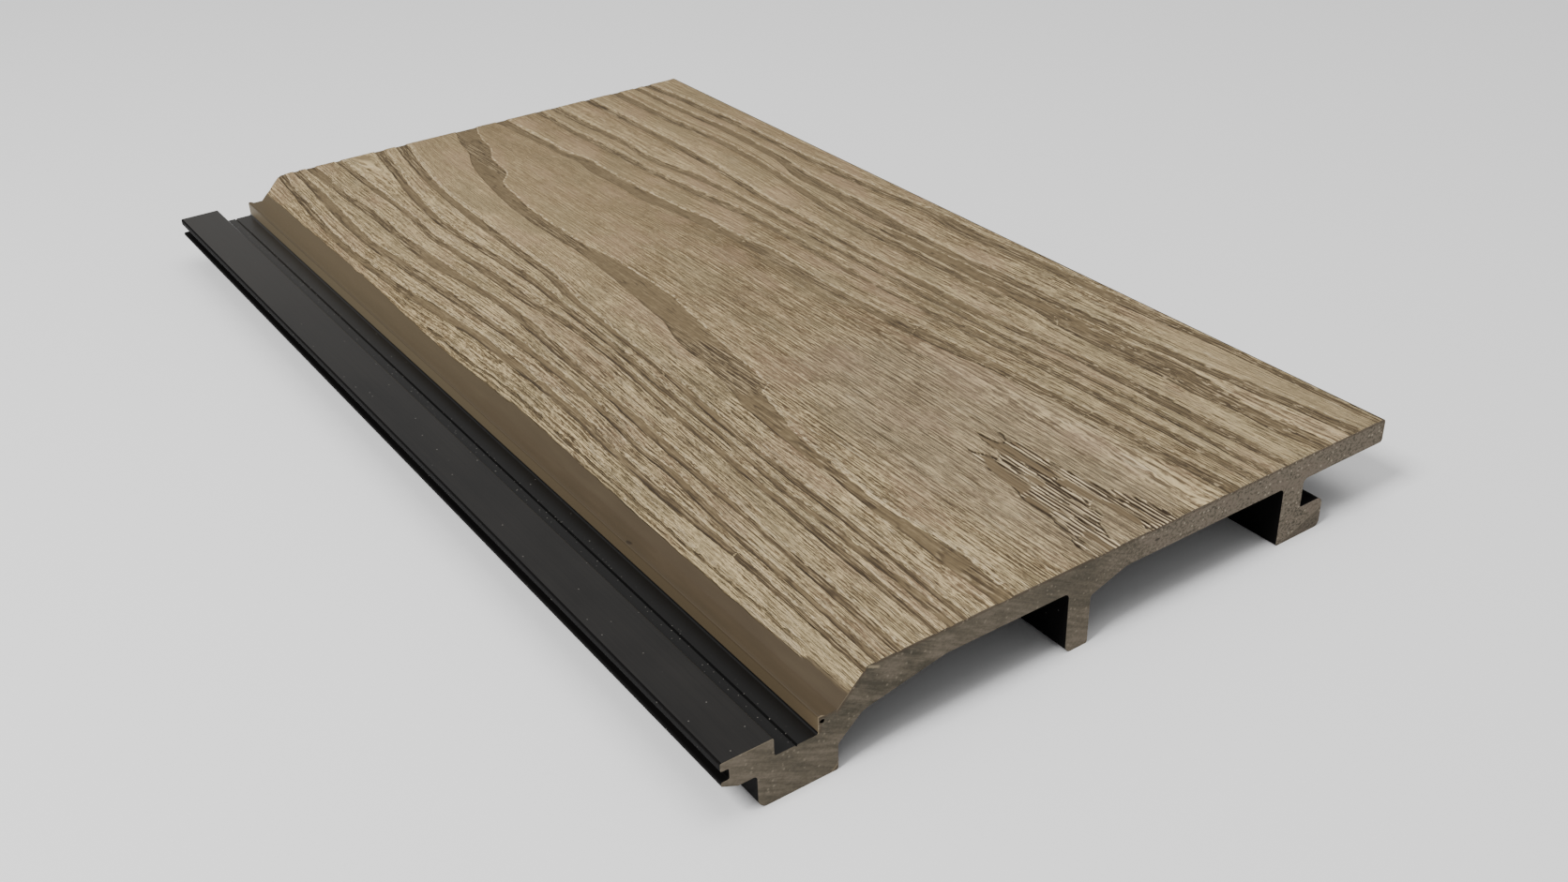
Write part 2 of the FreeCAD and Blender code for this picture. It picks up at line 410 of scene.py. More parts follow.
def segment_distance(start, end, points):
    """Distance of each point from a straight run between two places."""
    start, end = np.array(start, float), np.array(end, float)
    run = end - start
    share = np.clip(((points - start) @ run) / (run @ run), 0, 1)
    return np.linalg.norm(points - start - share[..., None] * run, axis=-1)


def inside_distance(outline, points):
    """Distance from a closed outline, positive inside it."""
    nearest = np.full(points.shape[:-1], 1e9)
    inside = np.zeros(points.shape[:-1], bool)
    for (u0, v0), (u1, v1) in zip(outline, outline[1:] + outline[:1]):
        nearest = np.minimum(nearest, segment_distance((u0, v0), (u1, v1), points))
        crosses = (v0 > points[..., 1]) != (v1 > points[..., 1])
        lean = (u1 - u0) / (v1 - v0) if v1 != v0 else 0.0
        inside ^= crosses & (points[..., 0] < u0 + lean * (points[..., 1] - v0))
    return np.where(inside, nearest, -nearest)


rows_along = np.repeat(along[:, None], column_count, axis=1)
places = np.stack([girth, rows_along], axis=-1)
# Slivers bridge the ribbons and take the painted highlight rim
for u0, v0, u1, v1 in splinters:
    bridge = np.exp(-((segment_distance((u0, v0), (u1, v1), places) / splinter_width) ** 2))
    vein = vein * (1 - 0.75 * bridge)
    rim = np.maximum(rim, 0.45 * bridge)
sideways = 0.10 * wander(2.3, 901) + 0.08 * wander(1.1, 903)
ripple = places + np.stack([sideways, 0 * along], axis=-1)[:, None, :]
torn = np.minimum(inside_distance(torn_outline, ripple), -inside_distance(film_outline, ripple))
torn = np.clip(torn, -2, 2)
flat = np.max([inside_distance(outline, ripple) for outline in flat_outlines], axis=0)
flat = ease(flat, -0.35, 0.1)
print("splinters:", len(splinters), "torn patch vertices:", int((torn > 0).sum()))

# %% [markdown]
# Grooves and ridges of torn fibre. A stroke is a short chain of (girth, along) places, and strokes of
# one width and strength share a row of the list. They nearly all run along the board, as fibres do. A
# groove is dark because the light can't reach in, and a ridge is pale because the brush has caught it.

# %% Strokes of torn fibre
grooves = [
    (0.2, 0.5, [[(106.4, 9), (106.3, 1)], [(108.2, 13), (108.5, 4)]]),
    (0.2, 0.6, [[(104.9, 26), (104.9, 19)], [(104.1, 18.6), (104.0, 14.2)], [(109.4, 8), (109.4, -1)],
        [(100.7, 42.4), (100.7, 36)]]),
    (0.2, 0.7, [[(92.5, 26), (92.7, 17)], [(94.2, 24.4), (94.1, 18.6)], [(95.5, 34.4), (95.3, 27)]]),
    (0.2, 0.8, [[(88.6, 3.4), (88.7, -1)], [(91.6, 7.2), (91.5, -1)]]),
    (0.22, 0.6, [[(93.3, 9), (93.4, -1)], [(93.3, 22.4), (93.5, 17), (93.8, 13.4)],
        [(98.3, 21.4), (98.2, 13.6)]]),
    (0.22, 0.7, [[(104.7, 6), (104.6, 2)], [(107.2, 14), (107.0, 11)]]),
    (0.22, 0.8, [[(96.7, 22.4), (97.2, 18.2)], [(96.4, 32.4), (96.3, 26.2)]]),
    (0.24, 0.7, [[(105.6, 40.8), (105.6, 37)]]),
    (0.24, 0.8, [[(94.7, 13), (94.6, 8), (94.9, 5.6)], [(105.3, 14.2), (105.2, 8), (105.3, 2)],
        [(101.7, 44.0), (102.8, 43.5)], [(102.8, 41), (102.7, 34), (102.5, 25.6)],
        [(104.5, 33.4), (104.1, 28), (103.9, 24)]]),
    (0.24, 0.9, [[(99.4, 12.8), (99.3, 9.8)], [(102.8, 43.5), (103.7, 44.2), (104.3, 45.8)],
        [(92.1, 29), (91.9, 27), (91.4, 25.2)]]),
    (0.26, 0.7, [[(104.8, 41.9), (105.5, 41.4), (106.2, 41.8)]]),
    (0.26, 0.8, [[(100.4, 23.2), (100.7, 25.4), (101.7, 25.7)], [(111.1, 1.6), (111.3, -1)],
        [(96.9, 8.4), (96.0, 6.2), (94.9, 3.2)]]),
    (0.26, 0.9, [[(89.6, 13.2), (89.5, 9), (89.7, -1)], [(99.6, 47.2), (99.4, 43)]]),
    (0.26, 1.0, [[(96.2, 18), (96.4, 12), (96.5, 8.8)], [(105.6, 26.4), (106.0, 20), (106.3, 10.8)],
        [(107.2, 9.8), (107.4, 5), (107.7, -1)], [(100.9, 50.8), (101.1, 46.2), (101.7, 44.0)],
        [(96.2, 39.4), (96.2, 36)], [(100.3, 34), (100.5, 31), (100.7, 27.4)]]),
    (0.28, 0.42, [[(157.7, 8), (157.9, 3)], [(151.2, 55), (151.4, 47)], [(164.2, 5), (164.4, -1)],
        [(158.6, 53), (159.8, 44), (160.6, 38)], [(172.5, 58), (172.6, 40), (173.2, 26)]]),
    (0.28, 0.48, [[(126.8, 20), (126.8, -1)], [(132.4, 60), (132.7, 40), (133.1, 26), (132.9, 16)],
        [(142.6, 12), (143.2, 6), (144.2, -1)], [(144.2, 12), (144.4, 4)], [(156.9, 9), (157.2, 1)],
        [(152.6, 50), (152.2, 44)], [(153.9, 52), (153.8, 46)], [(154.0, 34), (154.4, 28)],
        [(161.0, 40), (162.0, 30), (162.6, 22), (163.5, 15.4)], [(25.4, 13.6), (26.2, 14.6), (26.9, 17)],
        [(35.3, 42), (35.3, 34)], [(36.4, 33.4), (36.8, 31)]]),
    (0.28, 0.54, [[(125.6, 24), (125.6, -1)], [(138.8, 38), (138.7, 20)],
        [(141.5, 38), (142.0, 30), (142.6, 24)], [(143.9, 44), (144.4, 34), (144.4, 25)],
        [(155.2, 8.6), (155.8, 4), (156.6, -1)], [(166.3, 14), (166.6, 8), (167.4, -1)],
        [(39.9, 30), (39.4, 22)]]),
    (0.28, 0.6, [[(137.6, 52), (138.0, 30), (137.9, 6)]]),
    (0.28, 1.0, [[(90.5, 7.8), (90.7, -1)], [(99.6, 29.2), (99.6, 22), (99.2, 13.4)],
        [(109.2, 11), (109.4, 8.8)], [(110.1, 7.6), (110.3, 2.4)],
        [(94.4, 46), (95.0, 44.4), (96.2, 42.2)]]),
    (0.3, 0.8, [[(105.2, 31.4), (105.0, 28.6)], [(94.2, 25.8), (94.1, 25)]]),
    (0.3, 0.9, [[(95.9, 22.8), (96.1, 19.4)], [(100.4, 16.2), (100.3, 15)]]),
    (0.3, 1.0, [[(90.7, 24.6), (90.7, 14), (90.3, 10.5)], [(88.6, 7.2), (87.8, 5.4), (87.6, -1)],
        [(103.8, 26), (103.7, 20.6)], [(96.2, 42.2), (96.6, 40.2), (97.2, 39.2)],
        [(97.6, 38.4), (97.7, 35), (97.3, 31.4)]]),
    (0.34, 0.8, [[(98.3, 9.3), (99.0, 9.5)], [(98.7, 34.9), (98.7, 34.2)]]),
    (0.34, 0.9, [[(103.0, 1.9), (104.6, 0.4), (104.7, -1)], [(93.0, 38), (92.8, 36.4)]]),
    (0.36, 1.0, [[(104.4, 45.9), (104.7, 47.4)]]),
]
ridges = [
    (0.2, 0.6, [[(105.0, 7.4), (105.0, 2)]]),
    (0.2, 0.7, [[(89.2, 5), (89.2, -1)]]),
    (0.22, 0.5, [[(97.3, 6), (97.0, -1)]]),
    (0.22, 0.6, [[(102.1, 12.6), (102.0, 8)], [(100.5, 4.6), (100.3, -1)], [(101.7, 4.4), (101.9, -1)]]),
    (0.22, 0.8, [[(88.2, 4.4), (88.3, -1)], [(95.6, 31.4), (95.8, 25.6)], [(96.8, 31.4), (96.7, 26)],
        [(92.4, 36), (91.9, 31)]]),
    (0.22, 0.9, [[(91.1, 7.4), (91.2, -1)]]),
    (0.24, 0.6, [[(95.1, 14.4), (95.1, 6)], [(95.2, 46.4), (95.9, 44.4)]]),
    (0.24, 0.7, [[(103.5, 21.6), (103.6, 17), (103.4, 13.8)], [(96.3, 3.6), (96.3, -1)],
        [(103.1, 33), (103.3, 26)], [(99.9, 10.4), (100.0, 12.8)]]),
    (0.24, 0.8, [[(96.4, 23.4), (97.1, 19)], [(107.9, 9.4), (108.2, -1)], [(93.3, 44.4), (92.9, 40)]]),
    (0.24, 0.9, [[(90.1, 7), (90.1, -1)], [(96.7, 16.4), (96.9, 11)],
        [(109.8, 10.6), (110.1, 8), (110.7, 4)]]),
    (0.24, 1.0, [[(91.2, 16), (91.1, 12.6), (90.5, 10), (90.2, 8)]]),
    (0.26, 0.6, [[(72.5, 109), (72.7, 107.4)], [(73.2, 126.4), (73.3, 124)], [(76.2, 126.4), (76.3, 123)]]),
    (0.26, 0.7, [[(104.9, 41), (105.0, 36)]]),
    (0.26, 0.8, [[(98.2, 38.6), (98.4, 33)]]),
    (0.26, 0.9, [[(100.9, 22), (101.0, 19.4)], [(101.9, 15.2), (101.3, 14.6), (99.5, 13.5)],
        [(106.3, 26), (106.6, 20), (106.8, 12)], [(94.4, 25.4), (95.2, 26), (95.9, 25.7)],
        [(101.4, 25.1), (102.5, 25.7)]]),
    (0.28, 0.42, [[(130.7, 60), (130.6, 40), (130.8, 22)], [(147.0, 56), (147.6, 34)],
        [(149.4, 26), (149.5, 4)]]),
    (0.28, 0.48, [[(145.6, 60), (145.8, 40)], [(147.9, 28), (148.0, 12)], [(149.6, 60), (149.9, 54)],
        [(151.0, 50.4), (151.4, 49)], [(152.3, 41), (152.4, 37)], [(154.7, 50), (154.6, 44)],
        [(160.9, 34), (161.6, 30)], [(155.2, 127), (154.6, 120)], [(156.8, 88), (156.6, 76)],
        [(157.3, 198), (158.2, 187)], [(164.6, 34), (165.4, 26)], [(37.4, 60), (37.6, 50)]]),
    (0.28, 0.54, [[(144.6, 60), (144.8, 42)], [(146.6, 30), (146.8, 12), (147.6, -1)],
        [(154.6, 12.6), (155.4, 9.6), (156.2, 10.2)], [(153.0, 47.4), (154.0, 48.2)],
        [(157.9, 60), (158.3, 53), (159.6, 44), (160.5, 38)], [(164.3, 6.4), (165.1, 2)]]),
    (0.28, 0.6, [[(154.4, 24), (154.1, 20), (154.6, 14)]]),
    (0.28, 0.9, [[(94.2, 16.4), (94.2, 11.8)]]),
    (0.28, 1.0, [[(98.6, 18.2), (99.0, 11.8)], [(103.2, 26), (103.4, 21.6)]]),
    (0.3, 0.6, [[(102.1, 45.4), (103.2, 44.9)]]),
    (0.3, 0.7, [[(96.9, 41.6), (97.4, 40.5), (98.6, 40.4), (99.0, 42)], [(105.4, 33), (105.7, 27)]]),
    (0.3, 0.8, [[(73.4, 97.6), (74.1, 95.8), (75.3, 95.3), (76.4, 94.4)], [(106.9, 34), (107.4, 28)]]),
    (0.3, 0.9, [[(92.2, 15.6), (92.3, 11), (92.7, 8.2)]]),
    (0.3, 1.0, [[(100.4, 19.4), (100.4, 17.6), (101.0, 16), (100.6, 14.6)],
        [(99.8, 13), (99.7, 10.2), (98.8, 9), (97.4, 8.5)],
        [(97.4, 8.5), (96.6, 6.8), (95.4, 3.6), (94.8, 1)], [(100.3, 34.6), (100.0, 32.6)]]),
    (0.34, 0.6, [[(98.8, 33), (98.8, 26)]]),
    (0.34, 0.8, [[(99.2, 38.8), (99.3, 37.4)]]),
    (0.34, 0.9, [[(26.1, 15.4), (26.4, 22)]]),
    (0.34, 1.0, [[(103.2, 40.8), (103.0, 33.4)]]),
    (0.36, 1.0, [[(97.0, 39), (96.9, 34.9)]]),
    (0.4, 1.0, [[(25.5, 14.6), (25.7, 22), (25.7, 34)]]),
]


def stroke_mark(strokes, points):
    """How strongly each point lies on one of the strokes."""
    mark = np.zeros(points.shape[:-1])
    runs = [
        (width, strength, start, end)
        for width, strength, chains in strokes for chain in chains for start, end in zip(chain, chain[1:])
    ]
    for width, strength, start, end in runs:
        first, last = np.searchsorted(along, (min(start[1], end[1]) - 1, max(start[1], end[1]) + 1))
        near = np.exp(-((segment_distance(start, end, points[first:last]) / width) ** 2))
        mark[first:last] = np.maximum(mark[first:last], strength * near)
    return mark


groove = stroke_mark(grooves, ripple)
ridge = stroke_mark(ridges, ripple)
for name, strokes in (("grooves:", grooves), ("ridges:", ridges)):
    print(name, sum(len(chains) for width, strength, chains in strokes))

# %% [markdown]
# Marks that the finish reads. The brush stops a little way down the bevel, and below that the skin
# stays smooth. The across mark bends the fibres beside each ribbon along with it, as fibres bend round
# a knot. The tone mark is the slow change from pale to dark over the face: broad patches, and in the
# right half a fall from pale to dark between each ribbon and the next, as in the rings of a plank. It also
# carries a painted highlight on the crown at the near end, where the light from the left strikes it.

# %% The brushed zone, the bent fibres and the slow tone
brush_edge = through([
    (0, 26.7), (9, 26.6), (12.6, 26.3), (14.0, 25.4), (15.5, 25.15), (18, 25.1), (60, 25.0),
    (146, 25.1), (156, 24.6), (188, 24.6), (200, 24.9), (300, 24.9),
]) + 0.12 * wander(4, 911) + 0.08 * wander(1.7, 912)
bare = np.clip(girth - brush_edge[:, None], -2, 8)

still_pull = 0.35
pull_reach = 6
pull = np.full(girth.shape, still_pull)
drift = np.zeros(girth.shape)
for line in grain_lines:
    if line["name"] != "broad":
        weight = np.exp(-(((girth - line["centre"][:, None]) / pull_reach) ** 2))
        pull += weight
        drift += weight * (line["centre"] - line["centre"].mean())[:, None]
across_mark = girth - drift / pull

# A patch is its centre in girth, its place along the board, its reach both ways and how pale it is
# The small patch at girth 28.4 by the near end is a painted highlight on the crown
tone_and_highlight_patches = [
    (48, 150, 26, 400, 1.30), (100, 20, 22, 70, 0.35), (150, 15, 28, 75, 1.45), (150, 170, 25, 150, 0.14),
    (114, 150, 4.5, 120, -0.70), (98, 170, 14, 150, -0.16), (147, 40, 3.5, 60, 0.30),
    (168, 30, 5, 45, -0.10), (137, 116, 4, 14, -0.4), (174, 275, 1.6, 30, -0.6), (103, 295, 2, 5, -0.6),
    (29, 60, 3.0, 90, 1.0), (25.9, 70, 0.9, 60, 0.6), (28.4, 3, 2.0, 10, 0.9), (100, 0, 200, 110, 0.30),
    (29, 25, 3.5, 40, 0.9),
]
tone = np.zeros(girth.shape)
for centre, place, width, reach, amount in tone_and_highlight_patches:
    tone += amount * np.exp(-(((girth - centre) / width) ** 2) - ((rows_along - place) / reach) ** 2)
for line, after in zip(grain_lines, grain_lines[1:]):
    if line["name"].startswith("right"):
        gap = (after["centre"] - line["centre"])[:, None]
        share = (girth - line["centre"][:, None]) / gap
        falling = np.where((share > 0) & (share < 1), 1 - 2 * share, 0)
        tone += 0.7 * falling * ease(along, 45, 80)[:, None]
print("tone from", round(float(tone.min()), 2), "to", round(float(tone.max()), 2))

# %% [markdown]
# The blank. The face's fine grid and the plain rest of the section make one open tube, as the board
# leaves the die: nothing is pressed yet and the ends aren't sawn. The plain sides need only long faces.
# Where they meet the fine grid they take all its edge points, so no gap opens between them.

# %% Building the blank
def nearest_point(outline, place):
    """The number of the outline's point nearest to a place."""
    return int(np.argmin(np.hypot(*(outline - np.array(place)).T)))


plain = np.roll(section, -nearest_point(section, face_end) - 1, axis=0)
plain = plain[:nearest_point(plain, bevel_foot) + 1]
face_across, face_height, lean_x, lean_z = face_place(girth)
grid = np.stack([board_left + face_across * MM, near_end + rows_along * MM, face_height * MM], axis=-1)
points = [grid.reshape(-1, 3)]
plain_x, plain_z = board_left + plain[:, 0] * MM, plain[:, 1] * MM
for end_y in (near_end, near_end + board_length * MM):
    points.append(np.stack([plain_x, 0 * plain[:, 0] + end_y, plain_z], axis=-1))
points = np.concatenate(points)
near_plain = row_count * column_count + np.arange(len(plain))
far_plain = near_plain + len(plain)
index_grid = np.arange(row_count * column_count).reshape(row_count, column_count)
near_row = index_grid[0].tolist()
far_row = index_grid[-1].tolist()

faces = np.stack([
    index_grid[:-1, :-1], index_grid[:-1, 1:], index_grid[1:, 1:], index_grid[1:, :-1],
], axis=-1).reshape(-1, 4).tolist()
face_count = len(faces)
near_plain, far_plain = near_plain.tolist(), far_plain.tolist()
faces.append([near_row[-1], near_plain[0], far_plain[0]] + index_grid[::-1, -1].tolist()[:-1])
faces.append([near_plain[-1]] + index_grid[:, 0].tolist() + [far_plain[-1]])
for first in range(len(plain) - 1):
    faces.append([near_plain[first], near_plain[first + 1], far_plain[first + 1], far_plain[first]])

blank_mesh = bpy.data.meshes.new("cladding_board")
blank_mesh.from_pydata(points.tolist(), [], faces)
board = bpy.data.objects.new("cladding_board", blank_mesh)
bpy.context.scene.collection.objects.link(board)
print("blank:", len(blank_mesh.vertices), "points,", len(blank_mesh.polygons), "faces")

# %% [markdown]
# Attributes carry the marks from numpy to the nodes. A point attribute has one value for each vertex,
# and both the embossing and the finishes read it by name. The skin attribute says which of the
# finishes a face has: 0 for the brown cap, 1 for the black lip and fixing channel, 2 for the back.

# %% Marks on the blank
plain_total = 2 * len(plain)
marks = {
    "vein": (vein, 0.0), "shade": (shade, 0.0), "rim": (rim, 0.0), "torn": (torn, -2.0),
    "flat": (flat, 0.0), "groove": (groove, 0.0), "ridge": (ridge, 0.0), "bare": (bare, -2.0),
    "across": (across_mark, 0.0), "tone": (tone, 0.0), "lean_x": (lean_x, 0.0), "lean_z": (lean_z, 0.0),
}
pressed_part = np.ones(girth.shape)
pressed_part[:, [0, -1]] = 0
marks["roller"] = (pressed_part, 0.0)
for name, (values, elsewhere) in marks.items():
    layer = blank_mesh.attributes.new(name, "FLOAT", "POINT")
    all_values = np.append(values.ravel(), np.full(plain_total, elsewhere))
    layer.data.foreach_set("value", all_values.astype(np.float32))

CAP, BLACK_SKIN, BLACK_BACK = range(3)
strip_skins = np.full(len(plain) - 1, BLACK_BACK, np.int32)
strip_skins[:nearest_point(plain, cap_end)] = CAP
strip_skins[nearest_point(plain, lip_shoulder):] = BLACK_SKIN
strip_skins[nearest_point(plain, wall_foot):] = CAP
skins = np.zeros(len(faces), np.int32)
skins[face_count + 2:] = strip_skins
blank_mesh.attributes.new("skin", "INT", "FACE").data.foreach_set("value", skins)

widest_rounding = 0.4
strip_width = np.hypot(*np.diff(plain, axis=0).T)
smooth = np.ones(len(faces), bool)
smooth[face_count:face_count + 2] = False
smooth[face_count + 2:] = strip_width < widest_rounding
blank_mesh.polygons.foreach_set("use_smooth", smooth)
print("marks:", sorted(marks), "black faces:", int((skins > 0).sum()))

# %% [markdown]
# Node trees as Python. A shader or a geometry tree is only a list of nodes and links, and long sums in
# it are hard to read. Wire wraps one output socket, so an expression such as 1 - mask adds the Math
# nodes by itself. Its one method, node, makes any other node from its type, its settings and what goes
# into its sockets. Short methods such as between, fading and near name the steps that masks are made
# of, and under lays colours over one another. The same class serves the embossing and the finishes.

# %% A wire that can be reckoned with
def rgb(red, green, blue):
    """A colour from the 0 to 255 numbers that a colour picker shows."""
    values = [value / 255 for value in (red, green, blue)]
    return tuple(v / 12.92 if v < 0.04045 else ((v + 0.055) / 1.055) ** 2.4 for v in values) + (1.0,)


class Wire:
    """An output socket in a node tree."""

    def __init__(self, tree, socket=None):
        self.tree = tree
        self.socket = socket

    def node(self, kind, settings=None, sockets=None, output=None):
        """Adds a node; output is a socket's name, or the first one in use."""
        made = self.tree.nodes.new(kind)
        for name, setting in (settings or {}).items():
            if name == "stops":
                self.set_stops(made.color_ramp, setting)
            else:
                setattr(made, name, setting)
        for name, value in (sockets or {}).items():
            if isinstance(name, int):
                socket = made.inputs[name]
            else:
                socket = next(item for item in made.inputs if item.name == name and item.enabled)
            if isinstance(value, Wire):
                self.tree.links.new(value.socket, socket)
            else:
                socket.default_value = value
        usable = [item for item in made.outputs if item.enabled and output in (None, item.name)]
        return Wire(self.tree, usable[0] if usable else None)

    @staticmethod
    def set_stops(ramp, stops):
        """Sets a colour ramp's stops from (place, colour) pairs."""
        for place, colour in stops[len(ramp.elements):]:
            ramp.elements.new(place)
        for element, (place, colour) in zip(ramp.elements, stops):
            element.position = place
            element.color = colour

    def reckon(self, operation, *terms):
        """A Math node, with wires or numbers as its terms."""
        return self.node("ShaderNodeMath", {"operation": operation}, dict(enumerate(terms)))

    def __add__(self, other):
        return self.reckon("ADD", self, other)

    __radd__ = __add__

    def __sub__(self, other):
        return self.reckon("SUBTRACT", self, other)

    def __rsub__(self, other):
        return self.reckon("SUBTRACT", other, self)

    def __mul__(self, other):
        return self.reckon("MULTIPLY", self, other)

    __rmul__ = __mul__

    def __truediv__(self, other):
        return self.reckon("DIVIDE", self, other)

    def __abs__(self):
        return self.reckon("ABSOLUTE", self)

    def sine(self):
        return self.reckon("SINE", self)

    def least(self, other):
        return self.reckon("MINIMUM", self, other)

    def most(self, other):
        return self.reckon("MAXIMUM", self, other)

    def between(self, start, end):
        """0 at start, 1 at end, with a smooth step between them."""
        return self.node("ShaderNodeMapRange", {"interpolation_type": "SMOOTHSTEP"}, {
            "Value": self, "From Min": start, "From Max": end, "To Min": 0.0, "To Max": 1.0,
        })

    def fading(self, start, end):
        """1 at start, 0 at end, with a smooth step between them."""
        return 1.0 - self.between(start, end)

    def near(self, centre, full, gone):
        """1 where this is within full of the centre, and 0 beyond gone."""
        return abs(self - centre).fading(full, gone)

    def towards(self, target, share):
        """This colour mixed towards another one."""
        return self.node("ShaderNodeMix", {"data_type": "RGBA"}, {"Factor": share, "A": self, "B": target})

    def under(self, *layers):
        """This colour under others in turn; each layer is a picked colour and its share."""
        colour = self
        for picked, share in layers:
            colour = colour.towards(rgb(*picked), share)
        return colour


def vector(x, y, z):
    """Three wires or numbers as one vector; x has to be a wire."""
    return x.node("ShaderNodeCombineXYZ", {}, {0: x, 1: y, 2: z})


def noise(x, y, z, detail=2.0, roughness=0.5):
    """Smooth noise, about 0.5 on average, with one wave for each unit of x, y and z."""
    return x.node("ShaderNodeTexNoise", {"noise_dimensions": "3D"}, {
        "Vector": vector(x, y, z), "Scale": 1.0, "Detail": detail, "Roughness": roughness,
    })


def oval(across, up, centre, half_size, edge):
    """1 inside an oval and 0 outside it, with a soft edge."""
    across_way = (across - centre[0]) / half_size[0]
    up_way = (up - centre[1]) / half_size[1]
    return (across_way * across_way + up_way * up_way).fading(0.4, edge)


print("wire methods:", sorted(name for name in vars(Wire) if not name.startswith("_")))

# %% [markdown]
# The embossing roller, as Geometry Nodes. The rule is simple: move each point of the face inwards by
# the ribbon's depth where there is a ribbon, and by the fine fibre's depth where there isn't. A tree
# with named inputs keeps those depths easy to change, and a fixed seed keeps the fibres the same each
# time. Nothing moves outwards, so the board stays inside its measured box.

# %% The embossing roller
def embossing_roller():
    """A geometry tree that presses ribbons, fibres and the torn patch into the face."""
    tree = bpy.data.node_groups.new("embossing_roller", "GeometryNodeTree")
    tree.interface.new_socket("Board", in_out="INPUT", socket_type="NodeSocketGeometry")
    for name in ("Ribbon Depth", "Fibre Depth", "Torn Depth", "Fibre Width", "Fibre Length", "Seed"):
        tree.interface.new_socket(name, in_out="INPUT", socket_type="NodeSocketFloat")
    for name in ("Cap", "Black Skin", "Black Back"):
        tree.interface.new_socket(name, in_out="INPUT", socket_type="NodeSocketMaterial")
    tree.interface.new_socket("Board", in_out="OUTPUT", socket_type="NodeSocketGeometry")
    inlet = tree.nodes.new("NodeGroupInput")
    outlet = tree.nodes.new("NodeGroupOutput")
    start = Wire(tree)

    def given(name):
        return Wire(tree, inlet.outputs[name])

    def mark(name, data_type="FLOAT"):
        settings = {"data_type": data_type}
        return start.node("GeometryNodeInputNamedAttribute", settings, {"Name": name}, "Attribute")

    y = start.node("ShaderNodeSeparateXYZ", {}, {0: start.node("GeometryNodeInputPosition")}, "Y")
    length_place = y * (1 / MM) / given("Fibre Length")
    fibre = noise(mark("across") / given("Fibre Width"), length_place, given("Seed"), roughness=0.6)
    wave = noise(mark("across") * 0.55, y * (1 / MM) * 0.12, given("Seed") + 3.0, detail=1.0)
    torn_part = mark("torn").between(-0.25, 0.35)
    torn_fibre = noise(mark("across") * 1.3, y * (1 / MM) * 0.16, 8.0, detail=1.0)
    brushed = mark("bare").between(0.0, 0.6)
    raised = (1.0 - mark("vein")).most(0.0) * brushed
    ribbon = mark("vein") * given("Ribbon Depth") * (0.8 + 0.4 * wave)
    fibres = raised * given("Fibre Depth") * (fibre.between(0.25, 0.75) + wave.between(0.3, 0.7))
    fibres = fibres + 0.22 * mark("groove") * raised
    tears = 0.3 * torn_fibre.between(0.35, 0.6) * (1.0 - mark("flat"))
    tears = torn_part * (0.5 + tears - 0.4 * mark("ridge"))
    tears = (tears + 0.7 * mark("groove")).most(0.0) * given("Torn Depth")
    depth = mark("roller") * ribbon.most(fibres).most(tears)
    inwards = vector(mark("lean_x") * depth * -MM, 0.0, mark("lean_z") * depth * -MM)
    pressed = start.node("GeometryNodeSetPosition", {}, {"Geometry": given("Board"), "Offset": inwards})
    whole = start.node("GeometryNodeRealizeInstances", {}, {"Geometry": pressed})
    painted = whole
    for skin_number, name in enumerate(("Cap", "Black Skin", "Black Back")):
        chosen = start.node("FunctionNodeCompare", {"data_type": "INT", "operation": "GREATER_EQUAL"}, {
            "A": mark("skin", "INT"), "B": skin_number,
        })
        painted = start.node("GeometryNodeSetMaterial", {}, {
            "Geometry": painted, "Selection": chosen, "Material": given(name),
        })
    tree.links.new(painted.socket, outlet.inputs[0])
    return tree


cap = bpy.data.materials.new("brushed_cap")
black_skin = bpy.data.materials.new("black_skin")
black_back = bpy.data.materials.new("black_back")
core = bpy.data.materials.new("sawn_core")
settings = {
    "Ribbon Depth": 0.30, "Fibre Depth": 0.07, "Torn Depth": 0.42, "Fibre Width": 1.1,
    "Fibre Length": 9.0, "Seed": 5.0, "Cap": cap, "Black Skin": black_skin, "Black Back": black_back,
}
roller = board.modifiers.new("roller", "NODES")
roller.node_group = embossing_roller()
for item in roller.node_group.interface.items_tree:
    if item.in_out == "INPUT" and item.name in settings:
        roller[item.identifier] = settings[item.name]
evaluated = board.evaluated_get(bpy.context.evaluated_depsgraph_get())
pressed_mesh = bpy.data.meshes.new_from_object(
    evaluated, preserve_all_data_layers=True, depsgraph=bpy.context.evaluated_depsgraph_get()
)
board.modifiers.clear()
board.data = pressed_mesh
pressed_points = np.empty(len(pressed_mesh.vertices) * 3)
pressed_mesh.vertices.foreach_get("co", pressed_points)
moved = np.linalg.norm(pressed_points.reshape(-1, 3) - points, axis=1)
print("deepest press mm:", round(moved.max() / MM, 3))
print("materials:", [item.name for item in pressed_mesh.materials])

# %% [markdown]
# The sawn ends. They close the tube, so they come after the pressing: the saw cuts through the grain,
# and the end face follows every little notch. A small void left in the core opens on the near end, so
# that face has a hole with a short blind pit behind it.

# %% Closing the ends
void_centre = (21.7, 13.2)
void_size = (0.55, 0.42)
void_depth = 1.3
void_points = 14
sharp_from = 38
void_skin = pressed_mesh.materials.find("black_back")
core_skin = len(pressed_mesh.materials)


def sink_pit(shape):
    """A short blind pit behind the near end; gives the ring of points round its mouth."""
    mouth = []
    for step in range(void_points):
        turn = 2 * math.pi * step / void_points
        x = board_left + (void_centre[0] + void_size[0] * math.cos(turn)) * MM
        z = (void_centre[1] + void_size[1] * math.sin(turn) * (1 + 0.25 * math.cos(turn))) * MM
        mouth.append(shape.verts.new((x, near_end, z)))
    bottom = [shape.verts.new(vert.co + Vector((0, void_depth * MM, 0))) for vert in mouth]
    for step in range(void_points):
        after = (step + 1) % void_points
        shape.faces.new((mouth[after], mouth[step], bottom[step], bottom[after])).material_index = void_skin
    shape.faces.new(reversed(bottom)).material_index = void_skin
    return mouth


